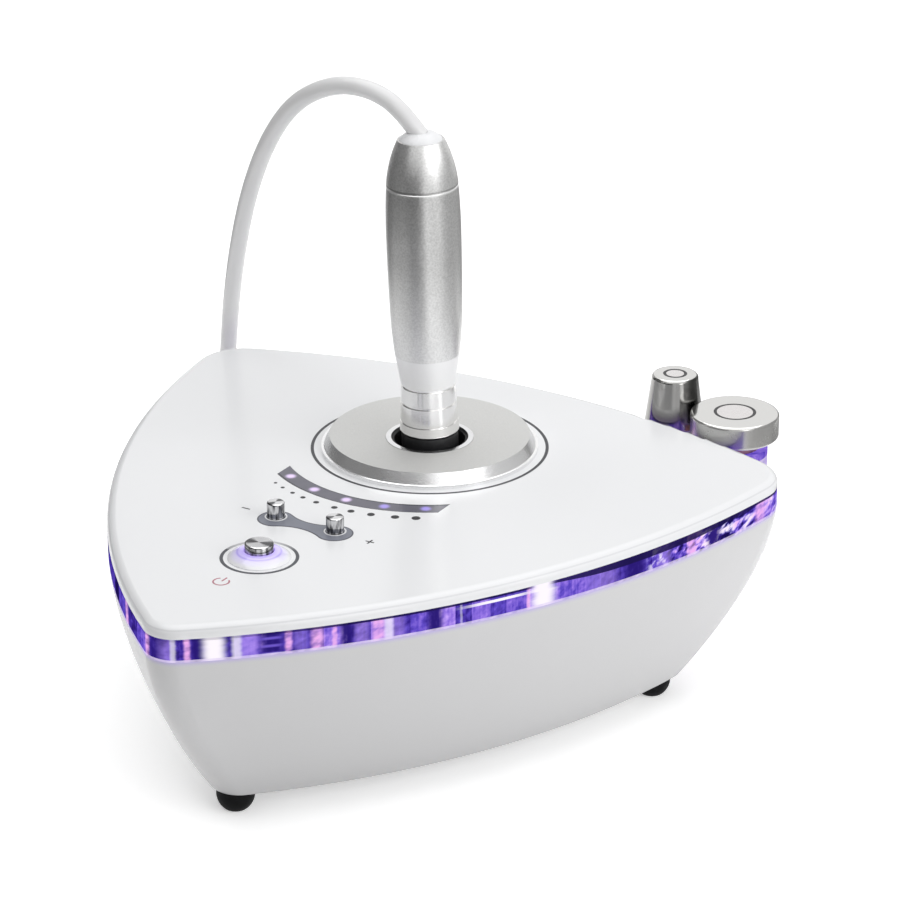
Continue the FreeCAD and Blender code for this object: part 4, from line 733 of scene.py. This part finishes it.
lens = Finish("violet_lens", Roughness=0.2, Emission_Color=(0.6, 0.45, 1.0), Emission_Strength=1.0)
lens.set(Base_Color=lens.mixed(lens.noise(400.0), (0.6, 0.5, 0.9), (0.45, 0.36, 0.8)))
dress(lens, "level_leds")


# Buttons: polished metal caps, turned and drawn, that slide in guide rings and press on switches
# below. The power button's ring is a domed light pipe, lilac near the cap and white at its edge.

# Painted reflections: the caps' colour runs from dark to bright to stand in for what the polished metal
# mirrors.
CAP_PAINTED_DARK = (0.10, 0.10, 0.105)
CAP_PAINTED_BRIGHT = (0.70, 0.70, 0.71)
CAP_FACE = 0.0003


def turned_cap(node, spot, reflection_lie):
    """Polished metal with painted reflections: dark and bright streaks on its side, and a top painted
    bright in two sectors.
    """
    finish = Finish(f"{node}_metal", Metallic=1.0)
    painted_sectors = abs((finish.angle(spot) - math.radians(reflection_lie)).sine())
    painted_streaks = finish.noise(1.0, where=finish.stretched(800.0, 800.0, 160.0))
    top = finish.height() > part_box(node)[1].z - CAP_FACE
    share = top * (painted_sectors * 2.4 - 0.7) + (1.0 - top) * (painted_streaks * 5.0 - 2.0)
    finish.set(Base_Color=finish.mixed(share.clamp(), CAP_PAINTED_DARK, CAP_PAINTED_BRIGHT))
    finish.set(Roughness=finish.noise(300.0) * 0.08 + 0.05 + top * 0.1)
    dress(finish, node)


turned_cap("power_button", power_spot, 10.0)
turned_cap("minus_button", minus_spot, 75.0)
turned_cap("plus_button", plus_spot, 60.0)
dress(white_moulding("collar_white", COVER_WHITE, 0.1), "button_collars")

HALO_INNER = 0.0052
HALO_OUTER = 0.0098
# Painted shade: a darker ring in the colour and the glow, where the clear dome's edge shows.
HALO_SHADE_RING = 0.0072
HALO_SHADE_WIDTH = 0.00035
HALO_SHADE_SHARE = 0.7
halo = Finish("lilac_halo", Roughness=0.2, Coat_Weight=0.5, Emission_Strength=0.5)
away = halo.away(power_spot)
share = ((away - HALO_INNER) / (HALO_OUTER - HALO_INNER) + halo.noise(350.0) * 0.2 - 0.1).clamp()
painted_line = ((away - HALO_SHADE_RING) / HALO_SHADE_WIDTH).bell(2.0) * HALO_SHADE_SHARE
tinted = halo.mixed(share, (0.42, 0.36, 0.72), (0.84, 0.84, 0.86))
halo.set(Base_Color=halo.mixed(painted_line, tinted, (0.30, 0.25, 0.60)))
glow = halo.mixed(share, (0.44, 0.32, 0.86), (0.04, 0.04, 0.05))
halo.set(Emission_Color=halo.mixed(painted_line, glow, (0.22, 0.15, 0.55)))
dress(halo, "power_halo")


# Dish: a turned aluminium disc, blasted to a fine satin and cut bright on its bevel, with a bright
# ring and a black rubber liner in its middle. A nut under the cover holds it.

DISH_FLAT = 0.0349
dish_satin = Finish("dish_satin", Metallic=1.0)
bevel = dish_satin.away(DISH_SPOT) > DISH_FLAT
glint = dish_satin.noise(2200.0, 3.0)
cut = dish_satin.mixed(glint, (0.78, 0.78, 0.78), (0.98, 0.98, 0.99))
satin = dish_satin.mixed(glint, (0.46, 0.46, 0.455), (0.60, 0.60, 0.59))
dish_satin.set(Base_Color=dish_satin.mixed(bevel, satin, cut))
dish_satin.set(Roughness=0.64 - bevel * 0.42 + glint * 0.06)
dish_satin.bump(dish_satin.noise(1500.0), 0.2, 0.0001)
dress(dish_satin, "rest_dish")
dress(plain_metal("bright_ring", (0.85, 0.85, 0.86), 0.08, 300.0, 0.02), "dish_trim_ring")
dress(black_rubber("bush_rubber", 0.25), "well_bush")


# Handpiece: a polished, grooved nose, a satin grip and a satin rear cap, screwed together round an
# insulated lead, with a white dome where the cord comes out. Grip and cap are painted paler near the
# nose end, and the cap a little paler than the grip, as painted sheen; at their seam a painted shadow
# line and a painted highlight line run side by side.

lift = next(j for j in frame["joints"] if j["name"] == "handpiece_lift")
LEAN = Vector(lift["axis"]).normalized()
NOSE_RISE = 0.0013
nose_foot = Vector((DISH_SPOT.x, DISH_SPOT.y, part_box("rest_dish")[1].z + NOSE_RISE))


def axis_station(finish):
    """How far along the handpiece a point lies, from the nose's foot."""
    sockets = {0: finish.place(), 1: LEAN}
    along = finish.node("ShaderNodeVectorMath", {"operation": "DOT_PRODUCT"}, sockets, output="Value")
    return along - nose_foot.dot(LEAN)


NECK_FROM = 0.0176
NECK_FADE = 0.0004
bright_nose = Finish("bright_nose")
neck = ((axis_station(bright_nose) - NECK_FROM) / NECK_FADE).clamp()
grain = bright_nose.noise(500.0, 3.0)
bright_nose.set(Base_Color=bright_nose.mixed(neck, (0.92, 0.915, 0.91), (0.98, 0.98, 0.985)))
bright_nose.set(Metallic=1.0 - neck * 0.5, Roughness=neck * 0.22 + grain * 0.1 + 0.14)
dress(bright_nose.bump(grain, 0.03, 0.0001), "handpiece_nose")

# Painted sheen: grip and cap are paler near the nose end and darker higher up, and the cap a little
# paler than the grip.
SHEEN_FULL_BELOW = 0.030
SHEEN_GONE_ABOVE = 0.064
SEAM_AT = 0.090
SEAM_LINE = 0.0008
SEAM_PAINTED_SHADOW = (0.12, 0.12, 0.12)
SEAM_PAINTED_HIGHLIGHT = (0.97, 0.97, 0.97)
grip_satin = Finish("grip_satin", Metallic=1.0)
station = axis_station(grip_satin)
cap = station > SEAM_AT
past_painted_sheen = ((station - SHEEN_FULL_BELOW) / (SHEEN_GONE_ABOVE - SHEEN_FULL_BELOW)).clamp() * (1.0 - cap * 0.2)
grain = grip_satin.noise(1500.0)
pale_fleck = grip_satin.mixed(past_painted_sheen, (0.91, 0.91, 0.905), (0.62, 0.62, 0.615))
dark_fleck = grip_satin.mixed(past_painted_sheen, (0.78, 0.78, 0.775), (0.49, 0.49, 0.485))
grip_satin.set(Base_Color=grip_satin.mixed((grain * 3.0 - 1.0).clamp(), dark_fleck, pale_fleck))
# Painted shadow line on the cap's foot, and painted highlight line just below the seam.
grip_satin.over(cap * (station < SEAM_AT + SEAM_LINE) * 0.45, SEAM_PAINTED_SHADOW)
grip_satin.over((station < SEAM_AT) * (station > SEAM_AT - SEAM_LINE) * 0.4, SEAM_PAINTED_HIGHLIGHT)
grip_satin.set(Roughness=grain * 0.14 + grip_satin.noise(60.0, 3.0) * 0.05 + 0.27)
dress(grip_satin.bump(grain, 0.2, 0.00012), "handpiece_barrel", "handpiece_rear_cap")
dress(white_moulding("collar_dome_white", COVER_WHITE, 0.25), "cord_collar")
dress(matte_black("insulator_black", 0.35), "nose_insulator")
dress(plain_metal("brass", (0.78, 0.58, 0.28), 0.2), "tip_socket", "disc_tip_stem", "cone_tip_stem")


# Tips and their shelf: chromed electrodes with a dark insulating ring, standing in a clear acrylic
# shelf that is bonded to the band and lit by it. The chrome is painted brighter on the tops than on
# the sides, and the narrow tip carries a painted dark reflection as a streak on one side.

TIP_FACE = 0.0002
# Painted light: the chrome's top is set brighter than its side.
PAINTED_BRIGHT_TOP = (0.70, 0.695, 0.68)
# Painted reflection: a dark streak on one side of the narrow tip.
PAINTED_STREAK_AT = math.radians(6.0)
PAINTED_STREAK_REACH = math.radians(32.0)
PAINTED_STREAK_DARK = (0.035, 0.035, 0.033)


def tip_chrome(name, node, painted_dark_side, blur, streak_share):
    """Chrome painted brighter on the top than on the side, which is also blurred and can carry a dark
    streak, a painted reflection.
    """
    finish = Finish(name, Metallic=1.0)
    grain = finish.noise(300.0, 3.0)
    reach = (finish.angle(plan_middle(node)) - PAINTED_STREAK_AT + grain * 0.3) / PAINTED_STREAK_REACH
    face = finish.height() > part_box(node)[1].z - TIP_FACE
    streaked = finish.mixed(reach.bell(4.0) * streak_share, painted_dark_side, PAINTED_STREAK_DARK)
    finish.set(Base_Color=finish.mixed(face, streaked, PAINTED_BRIGHT_TOP))
    finish.set(Roughness=grain * 0.1 + 0.05 + (1.0 - face) * blur)
    dress(finish.bump(grain, 0.015, 0.0001), node)


tip_chrome("disc_chrome", "disc_tip_shell", (0.47, 0.467, 0.455), 0.16, 0.0)
tip_chrome("cone_chrome", "cone_tip_shell", (0.33, 0.327, 0.318), 0.04, 0.9)
centre_steel = plain_metal("centre_steel", (0.80, 0.775, 0.77), 0.2, 300.0, 0.03)
dress(centre_steel, "disc_tip_centre", "cone_tip_centre")
dress(matte_black("ring_black", 0.4), "disc_tip_insulator", "cone_tip_insulator")
dress(lit_acrylic("lit_shelf", 0.9, 0.28), "tip_holder")


# Cord: a white sheathed lead from the handpiece, over the rear left corner and down to the table.
# What the photographer didn't show is coiled and strapped behind the console, and ends in a gland.

CORD_RADIUS = 0.0031
ARCH_ROUTE = (
    (-8.8, 25.2, 204.6), (-18.4, 24.8, 209.8), (-30.3, 24.7, 210.6), (-41.7, 25.2, 207.0),
    (-52.4, 26.9, 200.0), (-62.4, 30.3, 189.4), (-73.6, 36.5, 174.0), (-86.2, 46.2, 153.5),
    (-100.0, 59.6, 127.9), (-113.7, 75.0, 100.8), (-126.2, 90.7, 74.4), (-135.0, 101.0, 52.0),
    (-139.0, 109.5, 30.0), (-133.0, 114.0, 13.0), (-116.0, 115.0, 5.2), (-95.0, 114.5, 4.4),
    (-72.0, 113.2, 4.4),
)
TAIL_ROUTE = ((-85.3, 137.0, 11.7), (-85.8, 124.0, 17.0), (-85.3, 111.0, 26.0), (-85.0, 100.5, 30.0))


def in_metres(point):
    """A plan point of the cord's route, in the frame of the part."""
    x, y, z = point
    return Vector((x / 1000, y / 1000 + PLAN_MIDDLE, z / 1000))


COIL_MIDDLE = (-45.0, 153.0)
COIL_RADIUS = 40.0
COIL_PITCH = 7.6
COIL_LEVEL = 4.4
COIL_LAYER = 7.2
COIL_TURNS = 3.75
CLIMB_TURNS = 0.5
POINTS_PER_TURN = 16


def coil_point(turns):
    """A control point of the coil: in along the table, up a layer in half a turn, and out again."""
    away = turns - COIL_TURNS / 2
    reach = max(abs(away), CLIMB_TURNS / 4)
    radius = COIL_RADIUS - COIL_PITCH * (COIL_TURNS / 2 - reach)
    radius /= 0.75 + 0.25 * math.cos(math.tau / POINTS_PER_TURN)
    share = min(max(away / CLIMB_TURNS + 0.5, 0.0), 1.0)
    level = COIL_LEVEL + COIL_LAYER * share * share * (3 - 2 * share)
    angle = math.tau * (turns - 0.25)
    x, y = COIL_MIDDLE
    return x + radius * math.cos(angle), y + radius * math.sin(angle), level


EXIT_STATION = 0.1069
cord_exit = nose_foot + LEAN * EXIT_STATION
gland_low, gland_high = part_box("cord_gland")
gland_end = Vector(((gland_low.x + gland_high.x) / 2, gland_high.y, (gland_low.z + gland_high.z) / 2))

coil_count = round(COIL_TURNS * POINTS_PER_TURN)
coil_points = [coil_point(COIL_TURNS * step / coil_count) for step in range(coil_count + 1)]
route = [in_metres(p) for p in (*ARCH_ROUTE, *coil_points, *TAIL_ROUTE)]
route = [cord_exit, *route, gland_end]

line = bpy.data.curves.new("cord_line", "CURVE")
line.dimensions = "3D"
line.resolution_u = 6
spline = line.splines.new("NURBS")
spline.points.add(len(route) - 1)
for control, place in zip(spline.points, route):
    control.co = (*place, 1.0)
spline.order_u = 3
spline.use_endpoint_u = True
line_object = bpy.data.objects.new("cord_line", line)
scene.collection.objects.link(line_object)
bare = bpy.data.meshes.new_from_object(line_object)
line.bevel_depth = CORD_RADIUS
line.bevel_resolution = 8
line.use_fill_caps = True
sheath_mesh = bpy.data.meshes.new_from_object(line_object)
bpy.data.objects.remove(line_object)
bpy.data.meshes.remove(bare)

sheath = Finish("white_sheath", Coat_Weight=0.4, IOR=1.5)
cloud = sheath.noise(70.0, 3.0)
sheath.set(Base_Color=sheath.mixed(cloud, (0.80, 0.80, 0.805), (0.74, 0.74, 0.745)))
sheath.set(Roughness=sheath.noise(500.0, 3.0) * 0.15 + 0.36)
sheath.bump(sheath.noise(1200.0), 0.06, 0.0001)
dress(sheath, "handpiece_lead")
sheath_mesh.materials.clear()
sheath_mesh.materials.append(sheath.material)
for polygon in sheath_mesh.polygons:
    polygon.use_smooth = True
cord = bpy.data.objects.new("cord", sheath_mesh)
scene.collection.objects.link(cord)
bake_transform(cord)
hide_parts("cord_arch", "cord_coil", "cord_tail")
dress(matte_black("strap_black", 0.5), "coil_tie")
# The gland takes the housing's white, darkened as painted shade.
dress(white_moulding("gland_white", SHADED_CASE_WHITE, 0.35), "cord_gland")
